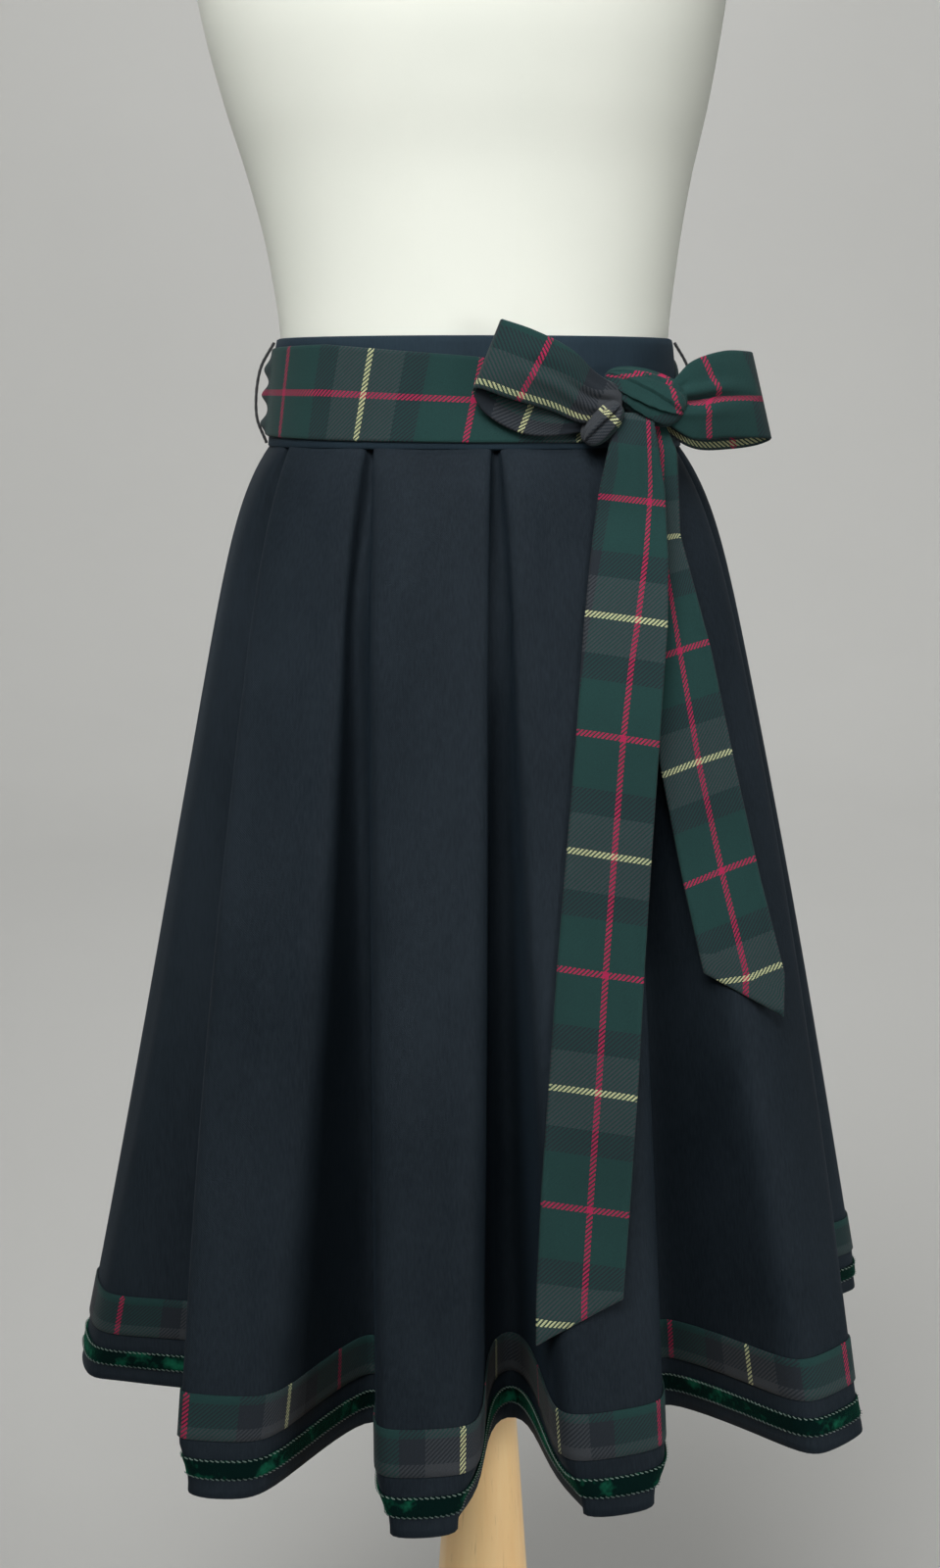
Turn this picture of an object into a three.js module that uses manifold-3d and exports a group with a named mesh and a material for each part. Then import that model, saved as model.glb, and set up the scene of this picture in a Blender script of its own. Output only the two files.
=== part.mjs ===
// A box-pleated folk skirt with a checked sash, on a limbless dress form with a wooden foot.
// Millimetres, +Z up. The origin is on the floor under the middle of the foot, and the front faces -Y.
// Angles round the figure are in degrees from the front, positive towards +X, the wearer's left.

import * as THREE from "three";
import Module from "manifold-3d";

// Heights over the floor
const HEM = 430; // lowest point of the hem, at the front
const SEAM = 1052; // where the pleats meet the band
const BAND_TOP = 1116;
const FORM_BOTTOM = 862;

// Walls and the gaps between pieces
const CLOTH = 2;
const BAND_CLOTH = 2.5;
const SASH_CLOTH = 1.8;
const TRIM_CLOTH = 1;
const THREAD = 2; // diameter of the belt loops
const GAP = 0.3; // between pieces that are sewn or lie on each other

// Oval plans: half width and half depth
const SEAM_OVAL = { wide: 128.5, deep: 101.5 }; // faces of the pleats and the band, at the seam
const TOP_OVAL = { wide: 122.6, deep: 95.6 }; // outside of the band at its top edge
const HIP_OVAL = { wide: 139, deep: 111.5 }; // bottoms of the tucks, where they ride over the hips

// Pleats
const TUCK_DEPTH = 6; // at the seam
const TUCK_HALF = 2; // half width of a tuck at the seam
const TUCK_MOUTH = 3; // half of its mouth there
const HIP_SLACK = 0.5; // its half width at the hips, as a share of that at the hem
const HIP_LEVEL = 0.18; // share of the drop at which a tuck has reached the hips
const TUCK_RELEASE = 0.22; // and from which it starts to fall to its place at the hem
const HIP_SPRING = 0.13; // how much the faces spring out over the hips
const HIP_SPRING_END = 0.06;
const FACE_BOW = 8; // how far the middle of a face stands proud of its corners, at the hem
const SIDE_EASE = 0.36; // share of a pleat's side that its corner's curve takes up

// One row for each pleat, from the -X side round by the front. The face is the fold that stands out:
// its place at the hem, the way it faces there, half its width and how far its hem is lifted, and how far
// it swells out and spreads to each side at half height. The tuck is the fold that turns in after it: its
// angle at the waist, and its place and half width at the hem.
const PLEATS = [
  { face: -90, reach: 265, facing: -75, half: 31, lift: 12, swell: 2, spread: 0,
    waist: -62.4, tuck: -66, inner: 135, slack: 14 },
  { face: -43, reach: 236, facing: -4, half: 29, lift: 4, swell: 3, spread: 9,
    waist: -29, tuck: -43, inner: 88, slack: 12 },
  { face: -8, reach: 214, facing: 6, half: 31, lift: 0, swell: 0, spread: 2,
    waist: 5.5, tuck: 23, inner: 56, slack: 14 },
  { face: 25.6, reach: 205, facing: 19, half: 34, lift: 0, swell: 0, spread: 4,
    waist: 40, tuck: 68, inner: 128, slack: 12 },
  { face: 64, reach: 259, facing: 44, half: 29, lift: 10, swell: 10, spread: 8,
    waist: 74, tuck: 90, inner: 150, slack: 14 },
  { face: 112, reach: 292, facing: 104, half: 36, lift: 30, swell: 8, spread: 2,
    waist: 110, tuck: 131, inner: 140, slack: 14 },
  { face: 147, reach: 262, facing: 150, half: 33, lift: 25, swell: 3, spread: 3,
    waist: 148, tuck: 161, inner: 120, slack: 13 },
  { face: 176, reach: 250, facing: 176, half: 32, lift: 22, swell: 2, spread: 4,
    waist: 186, tuck: 191, inner: 112, slack: 14 },
  { face: 206, reach: 252, facing: 204, half: 32, lift: 20, swell: 4, spread: 3,
    waist: 224, tuck: 221, inner: 122, slack: 13 },
  { face: 237, reach: 260, facing: 242, half: 33, lift: 16, swell: 2, spread: 2,
    waist: 262, tuck: 250, inner: 140, slack: 14 },
];
const PANELS = {
  front: { first: 0, count: 5 },
  backRight: { first: 5, count: 3 },
  backLeft: { first: 8, count: 2 },
};
const POINTS_A_PLEAT = 8;
const STEPS = [2, 1, 2, 2, 1, 2, 1, 2]; // columns between one control point of a pleat and the next
const TUCK_STRETCH = 5; // the stretch whose middle is the bottom of the tuck, where the seams are
const TUCK_MIDDLE = 0.5;

// Hem trims, measured up from the hem's edge
const RIBBON = { low: 12, high: 23 };
const BORDER = { low: 35, high: 61.6 };

// Rows of the skirt, as shares of its drop from the seam to the hem's edge
const fromHem = (up) => 1 - up / (SEAM - HEM);
const LEVELS = [0, 0.03, 0.075, 0.14, 0.22, 0.31, 0.42, 0.54, 0.67, 0.79,
  fromHem(BORDER.high), fromHem(BORDER.low), 1];

// Sash round the waist: the heights of its edges at some angles
const SASH_ROUND = [
  { angle: -180, low: 1059, high: 1110 },
  { angle: -90, low: 1059, high: 1110 },
  { angle: -45, low: 1057, high: 1111.5 },
  { angle: 0, low: 1056, high: 1104 },
  { angle: 40, low: 1056, high: 1096 },
  { angle: 62, low: 1056, high: 1110 },
  { angle: 90, low: 1059, high: 1110 },
  { angle: 180, low: 1059, high: 1110 },
];

// Bow: sections along each loop, out from the knot, round the fold at the tip and back behind. Each gives
// the place of the ribbon's upper and lower edges and how far its middle stands proud of them.
const LEFT_LOOP = [
  { upX: 84, upZ: 1080, lowX: 84, lowZ: 1071, y: -95, bulge: 1 },
  { upX: 68.5, upZ: 1086, lowX: 64, lowZ: 1067, y: -100, bulge: 3 },
  { upX: 53, upZ: 1104.5, lowX: 43, lowZ: 1074.5, y: -109, bulge: 5 },
  { upX: 32.5, upZ: 1117.5, lowX: 20.5, lowZ: 1081, y: -116, bulge: 5 },
  { upX: 17, upZ: 1124, lowX: 1.5, lowZ: 1087, y: -115.5, bulge: 3 },
  { upX: 15.5, upZ: 1124.5, lowX: -0.5, lowZ: 1085, y: -111.5, bulge: 0 },
  { upX: 19, upZ: 1121, lowX: 4, lowZ: 1075, y: -108, bulge: -1 },
  { upX: 34, upZ: 1106, lowX: 19, lowZ: 1064.5, y: -106.5, bulge: -1 },
  { upX: 51, upZ: 1092, lowX: 35, lowZ: 1060, y: -104, bulge: -1 },
  { upX: 67, upZ: 1079, lowX: 62.5, lowZ: 1062, y: -95.5, bulge: 1 },
  { upX: 84, upZ: 1077, lowX: 84, lowZ: 1067, y: -86, bulge: 0 },
];
const RIGHT_LOOP = [
  { upX: 102, upZ: 1086, lowX: 102, lowZ: 1074, y: -92, bulge: 1 },
  { upX: 114, upZ: 1090, lowX: 112, lowZ: 1064, y: -92, bulge: 2 },
  { upX: 126, upZ: 1101, lowX: 127.5, lowZ: 1051, y: -87, bulge: 4 },
  { upX: 146, upZ: 1107.5, lowX: 149.5, lowZ: 1051.5, y: -77, bulge: 5 },
  { upX: 161, upZ: 1107.5, lowX: 172, lowZ: 1056, y: -67, bulge: 3 },
  { upX: 164, upZ: 1107, lowX: 176.5, lowZ: 1058, y: -60.5, bulge: 0 },
  { upX: 159, upZ: 1106, lowX: 170, lowZ: 1057, y: -57, bulge: -3 },
  { upX: 146, upZ: 1103, lowX: 153, lowZ: 1056, y: -61, bulge: -4 },
  { upX: 131, upZ: 1094, lowX: 134, lowZ: 1058, y: -70, bulge: -3 },
  { upX: 115, upZ: 1086, lowX: 113, lowZ: 1069, y: -80, bulge: -1 },
  { upX: 102, upZ: 1084, lowX: 102, lowZ: 1073, y: -83, bulge: 0 },
];
const LOOP_ROWS = 4; // across the ribbon
const LOOP_STEPS = 18; // along it

// Knot: two rounded turns of the sash. Half sizes along each turn, through its thickness and across it,
// and how far it slopes down to the right.
const KNOT = { x: 95, y: -91, z: 1082.5, along: 22.5, through: 13, across: 14.5, tilt: 42 };
const KNOT_FULLNESS = 0.85; // 1 is an ellipsoid, and less is fuller
const KNOT_RINGS = 10;
const KNOT_COLUMNS = 18;
const UNDER_TURN = { x: 75.5, y: -99, z: 1063.5, along: 13, through: 9, across: 10.5, tilt: -38 };

// Tails: their edges at some heights, and how far forward the knot holds them. Below that they hang
// straight down until they lie on the pleats.
const LONG_TAIL = [
  { z: 1072, left: 84, right: 103, y: -94 },
  { z: 1054, left: 78.5, right: 105.5, y: -101 },
  { z: 1028, left: 73, right: 110 },
  { z: 990, left: 68, right: 112 },
  { z: 950, left: 64, right: 111.5 },
  { z: 885, left: 59.5, right: 107 },
  { z: 820, left: 54, right: 102.5 },
  { z: 755, left: 48.5, right: 98.5 },
  { z: 688, left: 44, right: 95 },
  { z: 625, left: 39.5, right: 91 },
  { z: 560, left: 36.5, right: 86.5 },
];
const LONG_END = { left: 534, right: 561 };
const SHORT_TAIL = [
  { z: 1066, left: 102, right: 111, y: -84 },
  { z: 1050, left: 101, right: 118, y: -88 },
  { z: 1002, left: 98, right: 120.5 },
  { z: 935, left: 101, right: 139 },
  { z: 866, left: 110.5, right: 154 },
  { z: 800, left: 124, right: 169.5 },
  { z: 742, left: 137.5, right: 185 },
];
const SHORT_END = { left: 742, right: 716 };
const TAIL_STEPS = 18;
const TAIL_COLUMNS = 3;
const TAIL_REST = 1.2; // a tail's clearance over the pleats

// Belt loops: thread bridges over the sash at both sides
const LOOP_STAND = 7; // how far they stand off the sash
const LOOP_FOOT = 1.2; // how far in from the band's edges they are sewn on
const LOOP_SHOULDER = 14; // half the height over which they stand full off
const LOOP_STEPS_UP = 10;
const LOOP_SIDES = 8;

// Dress form: oval sections, with how far each is set forward and how far it leans to the left
const FORM = [
  { z: FORM_BOTTOM, wide: 96, deep: 74, forward: 0, lean: 0 },
  { z: 866, wide: 112, deep: 88, forward: 0, lean: 0 },
  { z: 878, wide: 124, deep: 98, forward: 0, lean: 0 },
  { z: 900, wide: 129.5, deep: 102.5, forward: 0, lean: 0 },
  { z: 930, wide: 131, deep: 104, forward: 0, lean: 0 },
  { z: 980, wide: 126.5, deep: 99.5, forward: 0, lean: 0 },
  { z: 1020, wide: 122, deep: 95, forward: 0, lean: 0 },
  { z: SEAM, wide: 120, deep: 93, forward: 0, lean: 0 },
  { z: 1084, wide: 119.6, deep: 92.6, forward: 0, lean: 0 },
  { z: BAND_TOP, wide: 119.6, deep: 92.6, forward: 0, lean: 0 },
  { z: 1168, wide: 126, deep: 96, forward: 1, lean: 1 },
  { z: 1212, wide: 135, deep: 102, forward: 2, lean: 3 },
  { z: 1254, wide: 146, deep: 110, forward: 5, lean: 5 },
  { z: 1296, wide: 155, deep: 116, forward: 8, lean: 7 },
  { z: 1335, wide: 161, deep: 118, forward: 8, lean: 8 },
  { z: 1380, wide: 164, deep: 114, forward: 5, lean: 8 },
  { z: 1420, wide: 160, deep: 103, forward: 2, lean: 8 },
  { z: 1450, wide: 145, deep: 90, forward: 0, lean: 8 },
  { z: 1472, wide: 115, deep: 76, forward: 0, lean: 8 },
  { z: 1486, wide: 86, deep: 66, forward: 0, lean: 8 },
  { z: 1500, wide: 67, deep: 58, forward: 0, lean: 8 },
  { z: 1522, wide: 58, deep: 54, forward: 0, lean: 8 },
  { z: 1540, wide: 56, deep: 52, forward: 0, lean: 8 },
];
const ROUND = 40; // columns round the form, the band and the sash

// Wooden stand
const COLUMN_RADIUS = 18;
const COLUMN_SPREAD = 0.0676; // growth of the cone's radius for each millimetre down
const COLUMN_TOE = 49.9; // radius that the cone would have on the floor
const BASE = { radius: 175, thick: 22, edge: 7 };
const BASE_BREAK = 1.5; // of its lower edge
const STAND_SHIFT = 6; // the column stands this far to the right of the skirt's own axis
const STAND_ROUND = 40;

const COLOURS = {
  skirt: 0x1c262d,
  band: 0x27333a,
  check: 0x24403c,
  velvet: 0x0a2f26,
  thread: 0x15191c,
  form: 0xf0f0e4,
  wood: 0xb08a60,
};

const wasm = await Module();
wasm.setup();

const radians = THREE.MathUtils.degToRad;
const smooth = (value) => THREE.MathUtils.smoothstep(value, 0, 1);
const mix = (a, b, share) => a.map((value, i) => value + (b[i] - value) * share);

// A point of an oval plan, in steps of equal parameter angle from the front
const ovalPoint = (oval, angle) =>
  [oval.wide * Math.sin(radians(angle)), -oval.deep * Math.cos(radians(angle))];

// A point at a true angle and distance from the axis
const polarPoint = (angle, reach) => [reach * Math.sin(radians(angle)), -reach * Math.cos(radians(angle))];

// The direction along the cloth, left to right, of something that faces an angle
const alongCloth = (angle) => [Math.cos(radians(angle)), Math.sin(radians(angle))];

const shifted = (point, direction, by) => [point[0] + direction[0] * by, point[1] + direction[1] * by];

// Reads a table of rows at a value of its key column, with straight lines between the rows
function readTable(rows, key, at, column) {
  const next = rows.findIndex((row) => (row[key] - at) * (rows[1][key] - rows[0][key]) >= 0);
  if (next < 0) return rows.at(-1)[column];
  if (next === 0) return rows[0][column];
  const [a, b] = [rows[next - 1], rows[next]];
  return a[column] + ((b[column] - a[column]) * (at - a[key])) / (b[key] - a[key]);
}

// A closed mesh from points and faces, turned so that its faces point out
function closedGeometry(points, faces) {
  const triangles = faces.flatMap(([a, b, c, d]) => (d === undefined ? [[a, b, c]] : [[a, b, c], [a, c, d]]));
  const corner = (i) => new THREE.Vector3(...points[i]);
  const volume = triangles.reduce(
    (sum, [a, b, c]) => sum + corner(a).dot(corner(b).cross(corner(c))), 0);
  const index = volume < 0 ? triangles.flatMap(([a, b, c]) => [a, c, b]) : triangles.flat();
  const geometry = new THREE.BufferGeometry();
  geometry.setAttribute("position", new THREE.Float32BufferAttribute(points.flat(), 3));
  geometry.setIndex(index);
  return geometry;
}

// A wall between an outer and an inner grid of points with equal rows and columns. A joined wall closes
// on itself round the figure, and any other has two ends.
function wallGeometry(outer, inner, joined) {
  const rows = outer.length;
  const columns = outer[0].length;
  const out = (row, column) => row * columns + (column % columns);
  const back = (row, column) => rows * columns + out(row, column);
  const faces = [];
  const last = joined ? columns : columns - 1;
  for (let c = 0; c < last; c++) {
    for (let r = 0; r < rows - 1; r++) {
      faces.push([out(r, c), out(r + 1, c), out(r + 1, c + 1), out(r, c + 1)]);
      faces.push([back(r, c), back(r, c + 1), back(r + 1, c + 1), back(r + 1, c)]);
    }
    faces.push([out(0, c), out(0, c + 1), back(0, c + 1), back(0, c)]);
    faces.push([out(rows - 1, c + 1), out(rows - 1, c), back(rows - 1, c), back(rows - 1, c + 1)]);
  }
  if (!joined) {
    for (let r = 0; r < rows - 1; r++) {
      faces.push([out(r + 1, 0), out(r, 0), back(r, 0), back(r + 1, 0)]);
      faces.push([out(r, last), out(r + 1, last), back(r + 1, last), back(r, last)]);
    }
  }
  return closedGeometry([...outer.flat(), ...inner.flat()], faces);
}

// A solid through rings of points, closed by a flat fan at each end
function drumGeometry(rings) {
  const columns = rings[0].length;
  const centre = (ring) => [0, 1, 2].map((k) => ring.reduce((sum, point) => sum + point[k], 0) / columns);
  const points = [...rings.flat(), centre(rings[0]), centre(rings.at(-1))];
  const bottom = points.length - 2;
  const lastRing = (rings.length - 1) * columns;
  const faces = [];
  for (let c = 0; c < columns; c++) {
    const next = (c + 1) % columns;
    for (let r = 0; r < rings.length - 1; r++) {
      const low = r * columns;
      faces.push([low + c, low + next, low + columns + next, low + columns + c]);
    }
    faces.push([bottom, next, c]);
    faces.push([bottom + 1, lastRing + c, lastRing + next]);
  }
  return closedGeometry(points, faces);
}

// The largest body that is left of a piece when it has been cut by another
function cutBy(geometry, cutter) {
  const solid = ({ attributes, index }) => new wasm.Manifold(new wasm.Mesh({
    numProp: 3,
    vertProperties: attributes.position.array,
    triVerts: new Uint32Array(index.array),
  }));
  const bodies = solid(geometry).subtract(solid(cutter)).decompose();
  const left = bodies.reduce((best, body) => (body.volume() > best.volume() ? body : best)).getMesh();
  const cut = new THREE.BufferGeometry();
  cut.setAttribute("position", new THREE.BufferAttribute(left.vertProperties, 3));
  cut.setIndex(new THREE.BufferAttribute(left.triVerts, 1));
  return cut;
}

// Where a tuck is at a level: it leaves the seam, rides over the hips and falls to its place at the hem
function tuckPoint(row, side, level) {
  const inwards = polarPoint(row.waist, -1);
  const along = alongCloth(row.waist);
  const seam = shifted(shifted(ovalPoint(SEAM_OVAL, row.waist), inwards, TUCK_DEPTH), along, side * TUCK_HALF);
  const hip = shifted(ovalPoint(HIP_OVAL, row.waist), along, side * row.slack * HIP_SLACK);
  const hem = shifted(polarPoint(row.tuck, row.inner), alongCloth(row.tuck), side * row.slack);
  const overHips = mix(seam, hip, smooth(level / HIP_LEVEL));
  const fall = Math.max(0, (level - TUCK_RELEASE) / (1 - TUCK_RELEASE));
  return mix(overHips, hem, fall);
}

// Where a point across a face is at a level. Across runs from -1 to 1, and the share is where it starts
// between the two tucks at the seam.
function facePoint(before, row, across, level) {
  const start = before.waist > row.waist ? before.waist - 360 : before.waist;
  const middle = (start + row.waist) / 2;
  const edge = across < 0 ? start : row.waist;
  const mouth = shifted(ovalPoint(SEAM_OVAL, edge), alongCloth(edge), -Math.sign(across) * TUCK_MOUTH);
  const inner = ovalPoint(SEAM_OVAL, middle + (edge - middle) * Math.abs(across));
  const seam = Math.abs(across) === 1 ? mouth : inner;
  const centre = polarPoint(row.face, row.reach - FACE_BOW * across * across);
  const hem = shifted(centre, alongCloth(row.facing), across * row.half);
  const spring = HIP_SPRING * (1 - Math.exp(-level / HIP_SPRING_END)) * (1 - level) ** 2;
  const mid = Math.sin(Math.PI * level);
  const swollen = shifted(mix(seam, hem, level + spring), polarPoint(row.face, 1), row.swell * mid);
  return shifted(swollen, alongCloth(row.facing), across * row.spread * mid);
}

// The control points of the skirt's plan at a level, round from the first face, each with its hem's lift
function foldPlan(level) {
  return PLEATS.flatMap((row, i) => {
    const before = PLEATS.at(i - 1);
    const after = PLEATS[(i + 1) % PLEATS.length];
    const corners = [-1, -0.5, 0.5, 1].map((across) => facePoint(before, row, across, level));
    const nextCorner = facePoint(row, after, -1, level);
    const tuck = [-1, 1].map((side) => tuckPoint(row, side, level));
    const lifts = [row.lift, row.lift, row.lift, row.lift, row.lift,
      (row.lift + after.lift) / 2, (row.lift + after.lift) / 2, after.lift];
    const nearSide = mix(corners[3], tuck[0], SIDE_EASE);
    const farSide = mix(nextCorner, tuck[1], SIDE_EASE);
    const plan = [...corners, nearSide, ...tuck, farSide];
    return plan.map((point, k) => [...point, lifts[k]]);
  });
}

// Uniform cubic B-spline through a closed list of control points: the value and slope in one stretch
function splineAt(control, stretch, f) {
  const near = [-1, 0, 1, 2].map((k) => control[(stretch + k + control.length) % control.length]);
  const weights = [(1 - f) ** 3, 3 * f ** 3 - 6 * f ** 2 + 4, -3 * f ** 3 + 3 * f ** 2 + 3 * f + 1, f ** 3];
  const slopes = [-3 * (1 - f) ** 2, 9 * f ** 2 - 12 * f, -9 * f ** 2 + 6 * f + 3, 3 * f ** 2];
  const blend = (by) => near[0].map((_, k) => near.reduce((sum, point, i) => sum + point[k] * by[i], 0) / 6);
  return { value: blend(weights), slope: blend(slopes) };
}

// The skirt's surface at a level and a column, moved out along its plan by some millimetres
function skirtPoint(control, column, level, out) {
  const { value, slope } = splineAt(control, column.stretch, column.f);
  const length = Math.hypot(slope[0], slope[1]);
  const [alongX, alongY] = [slope[0] / length, slope[1] / length];
  const drop = SEAM - HEM - value[2];
  return [
    value[0] + alongY * out + alongX * (column.nudge ?? 0),
    value[1] - alongX * out + alongY * (column.nudge ?? 0),
    SEAM - GAP / 2 - (drop - GAP / 2) * level,
  ];
}

// The columns of the cloth from the tuck before one pleat to the tuck after another
function pleatColumns(first, count) {
  const columns = [];
  const start = first * POINTS_A_PLEAT + TUCK_STRETCH - POINTS_A_PLEAT;
  const stretches = POINTS_A_PLEAT * PLEATS.length;
  for (let k = 0; k <= count * POINTS_A_PLEAT; k++) {
    const stretch = (start + k + stretches) % stretches;
    const steps = STEPS[stretch % POINTS_A_PLEAT];
    for (let step = 0; step < steps; step++) {
      columns.push({ stretch, f: step / steps, place: k + step / steps });
    }
  }
  const end = count * POINTS_A_PLEAT + TUCK_MIDDLE;
  return columns.filter(({ place }) => place >= TUCK_MIDDLE && place <= end);
}

// A piece that follows the skirt's surface between two distances out from it
function skirtWall(columns, levels, inside, outside, joined) {
  const sheet = (out) => levels.map((level) => {
    const control = foldPlan(level);
    return columns.map((column) => skirtPoint(control, column, level, out));
  });
  return wallGeometry(sheet(outside), sheet(inside), joined);
}

// A skirt panel over some pleats, with half of the seam's gap left free at both of its ends
function skirtPanel({ first, count }) {
  const columns = pleatColumns(first, count);
  columns[0].nudge = GAP / 2;
  columns.at(-1).nudge = -GAP / 2;
  return skirtWall(columns, LEVELS, -CLOTH, 0, false);
}

// A trim sewn flat round the whole hem
function hemTrim({ low, high }) {
  const columns = pleatColumns(0, PLEATS.length).slice(0, -1);
  return skirtWall(columns, [fromHem(high), fromHem(low)], GAP, GAP + TRIM_CLOTH, true);
}

// How far forward the skirt reaches at a height, between two places across
function skirtFront(height, left, right) {
  const level = (SEAM - height) / (SEAM - HEM);
  const control = foldPlan(level);
  const { first, count } = PANELS.front;
  const points = pleatColumns(first, count).map((column) => skirtPoint(control, column, level, 0));
  const crossing = points.flatMap((point, i) => {
    const next = points[i + 1] ?? point;
    return [left, right].filter((x) => (point[0] - x) * (next[0] - x) < 0)
      .map((x) => point[1] + ((next[1] - point[1]) * (x - point[0])) / (next[0] - point[0]));
  });
  const within = points.filter(([x]) => x >= left && x <= right).map(([, y]) => y);
  return Math.min(...within, ...crossing);
}

// A level ring of points on an oval
const ovalRing = (wide, deep, height, columns = ROUND) =>
  Array.from({ length: columns }, (_, c) => [...ovalPoint({ wide, deep }, (360 * c) / columns), height]);

// The outside of the band at a height, moved out by some millimetres
function bandOval(height, out) {
  const share = (height - SEAM) / (BAND_TOP - SEAM);
  const size = (key) => SEAM_OVAL[key] + (TOP_OVAL[key] - SEAM_OVAL[key]) * share + out;
  return { wide: size("wide"), deep: size("deep") };
}

// The waistband, which spreads a little towards the seam
function waistband() {
  const heights = [BAND_TOP, (BAND_TOP + SEAM) / 2, SEAM + GAP / 2];
  const sheet = (out) => heights.map((height) => {
    const { wide, deep } = bandOval(height, out);
    return ovalRing(wide, deep, height);
  });
  return wallGeometry(sheet(0), sheet(-BAND_CLOTH), true);
}

// The sash round the band
function sashBelt() {
  const edge = (angle, side) => readTable(SASH_ROUND, "angle", angle > 180 ? angle - 360 : angle, side);
  const rows = [1, 0.5, 0];
  const sheet = (out) => rows.map((up) =>
    Array.from({ length: ROUND }, (_, c) => {
      const angle = (360 * c) / ROUND;
      const height = edge(angle, "low") + (edge(angle, "high") - edge(angle, "low")) * up;
      return [...ovalPoint(bandOval(height, out), angle), height];
    }));
  return wallGeometry(sheet(GAP + SASH_CLOTH), sheet(GAP), true);
}

// A ribbon through a grid of middle points: rows across it, columns along it
function ribbonGeometry(rows) {
  const at = (r, c) => new THREE.Vector3(...rows[Math.min(Math.max(r, 0), rows.length - 1)][
    Math.min(Math.max(c, 0), rows[0].length - 1)]);
  const face = (side) => rows.map((row, r) => row.map((_, c) => {
    const along = at(r, c + 1).sub(at(r, c - 1));
    const across = at(r + 1, c).sub(at(r - 1, c));
    return at(r, c).addScaledVector(along.cross(across).normalize(), (side * SASH_CLOTH) / 2).toArray();
  }));
  return wallGeometry(face(1), face(-1), false);
}

// A bow loop through its table of sections
function bowLoop(sections) {
  const line = (x, z) => new THREE.CatmullRomCurve3(
    sections.map((row) => new THREE.Vector3(row[x], row.y, row[z])), false, "centripetal");
  const [upper, lower] = [line("upX", "upZ"), line("lowX", "lowZ")];
  const bulges = sections.map((row, i) => ({ share: i / (sections.length - 1), bulge: row.bulge }));
  const grid = Array.from({ length: LOOP_ROWS }, (_, r) => {
    const down = r / (LOOP_ROWS - 1);
    return Array.from({ length: LOOP_STEPS + 1 }, (__, c) => {
      const share = c / LOOP_STEPS;
      const bulge = readTable(bulges, "share", share, "bulge") * 4 * down * (1 - down);
      const place = upper.getPoint(share).lerp(lower.getPoint(share), down);
      return [place.x, place.y - bulge, place.z];
    });
  });
  return ribbonGeometry(grid);
}

// A rounded turn of the knot. Grown turns cut the pieces that run in under them.
function knotTurn({ x, y, z, along, through, across, tilt }, grown = 0) {
  const rounded = (v) => Math.sign(v) * Math.abs(v) ** KNOT_FULLNESS;
  const turn = radians(tilt);
  const rings = [];
  for (let r = 1; r < KNOT_RINGS; r++) {
    const polar = (Math.PI * r) / KNOT_RINGS;
    rings.push(Array.from({ length: KNOT_COLUMNS }, (_, c) => {
      const round = (2 * Math.PI * c) / KNOT_COLUMNS;
      const u = rounded(Math.cos(polar)) * (along + grown);
      const v = rounded(Math.sin(polar) * Math.cos(round)) * (across + grown);
      const w = rounded(Math.sin(polar) * Math.sin(round)) * (through + grown);
      return [x + u * Math.cos(turn) + v * Math.sin(turn), y + w, z - u * Math.sin(turn) + v * Math.cos(turn)];
    }));
  }
  return drumGeometry(rings);
}

// A tail of the sash, which hangs from the knot on the pleats and ends in a slant
function sashTail(table, end) {
  const top = table[0].z;
  const rows = Array.from({ length: TAIL_COLUMNS }, (_, c) => {
    const across = c / (TAIL_COLUMNS - 1);
    const bottom = end.left + (end.right - end.left) * across;
    return Array.from({ length: TAIL_STEPS + 1 }, (__, r) => {
      const height = top + (bottom - top) * (r / TAIL_STEPS);
      const [left, right] = ["left", "right"].map((side) => readTable(table, "z", height, side));
      const resting = skirtFront(height, left, right) - SASH_CLOTH / 2 - TAIL_REST;
      const reach = Math.min(resting, tailStart(table, height));
      return [left + (right - left) * across, reach, height];
    });
  });
  return ribbonGeometry(rows);
}

// How far forward the knot holds a tail, which keeps that place below it
function tailStart(table, height) {
  return readTable(table.filter((row) => row.y !== undefined), "z", height, "y");
}

// A thread bridge over the sash at one side of the waist
function beltLoop(side) {
  const foot = (height) => [side * (bandOval(height, 0).wide + THREAD / 2 + GAP), 0, height];
  const stand = (height) => [side * (bandOval(height, 0).wide + SASH_CLOTH + LOOP_STAND), 0, height];
  const middle = (BAND_TOP + SEAM) / 2;
  const route = [foot(BAND_TOP - LOOP_FOOT), stand(middle + LOOP_SHOULDER), stand(middle - LOOP_SHOULDER),
    foot(SEAM + LOOP_FOOT)];
  const path = new THREE.CatmullRomCurve3(route.map((point) => new THREE.Vector3(...point)));
  const circle = new THREE.EllipseCurve(0, 0, THREAD / 2, THREAD / 2).getPoints(LOOP_SIDES);
  const section = new THREE.Shape(circle.slice(1));
  return new THREE.ExtrudeGeometry(section, { steps: LOOP_STEPS_UP, extrudePath: path, bevelEnabled: false });
}

// The limbless form, closed at the neck and under the hips
const formTorso = () => drumGeometry(FORM.map(({ z, wide, deep, forward, lean }) =>
  ovalRing(wide, deep, z).map(([x, y]) => [x - lean, y - forward, z])));

// The tapered wooden column
function formColumn() {
  const radius = (height) => Math.max(COLUMN_RADIUS, COLUMN_TOE - COLUMN_SPREAD * height);
  const shoulder = (COLUMN_TOE - COLUMN_RADIUS) / COLUMN_SPREAD;
  const heights = [BASE.thick + GAP, shoulder, FORM_BOTTOM - GAP];
  return drumGeometry(heights.map((height) => ovalRing(radius(height), radius(height), height, STAND_ROUND)));
}

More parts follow.
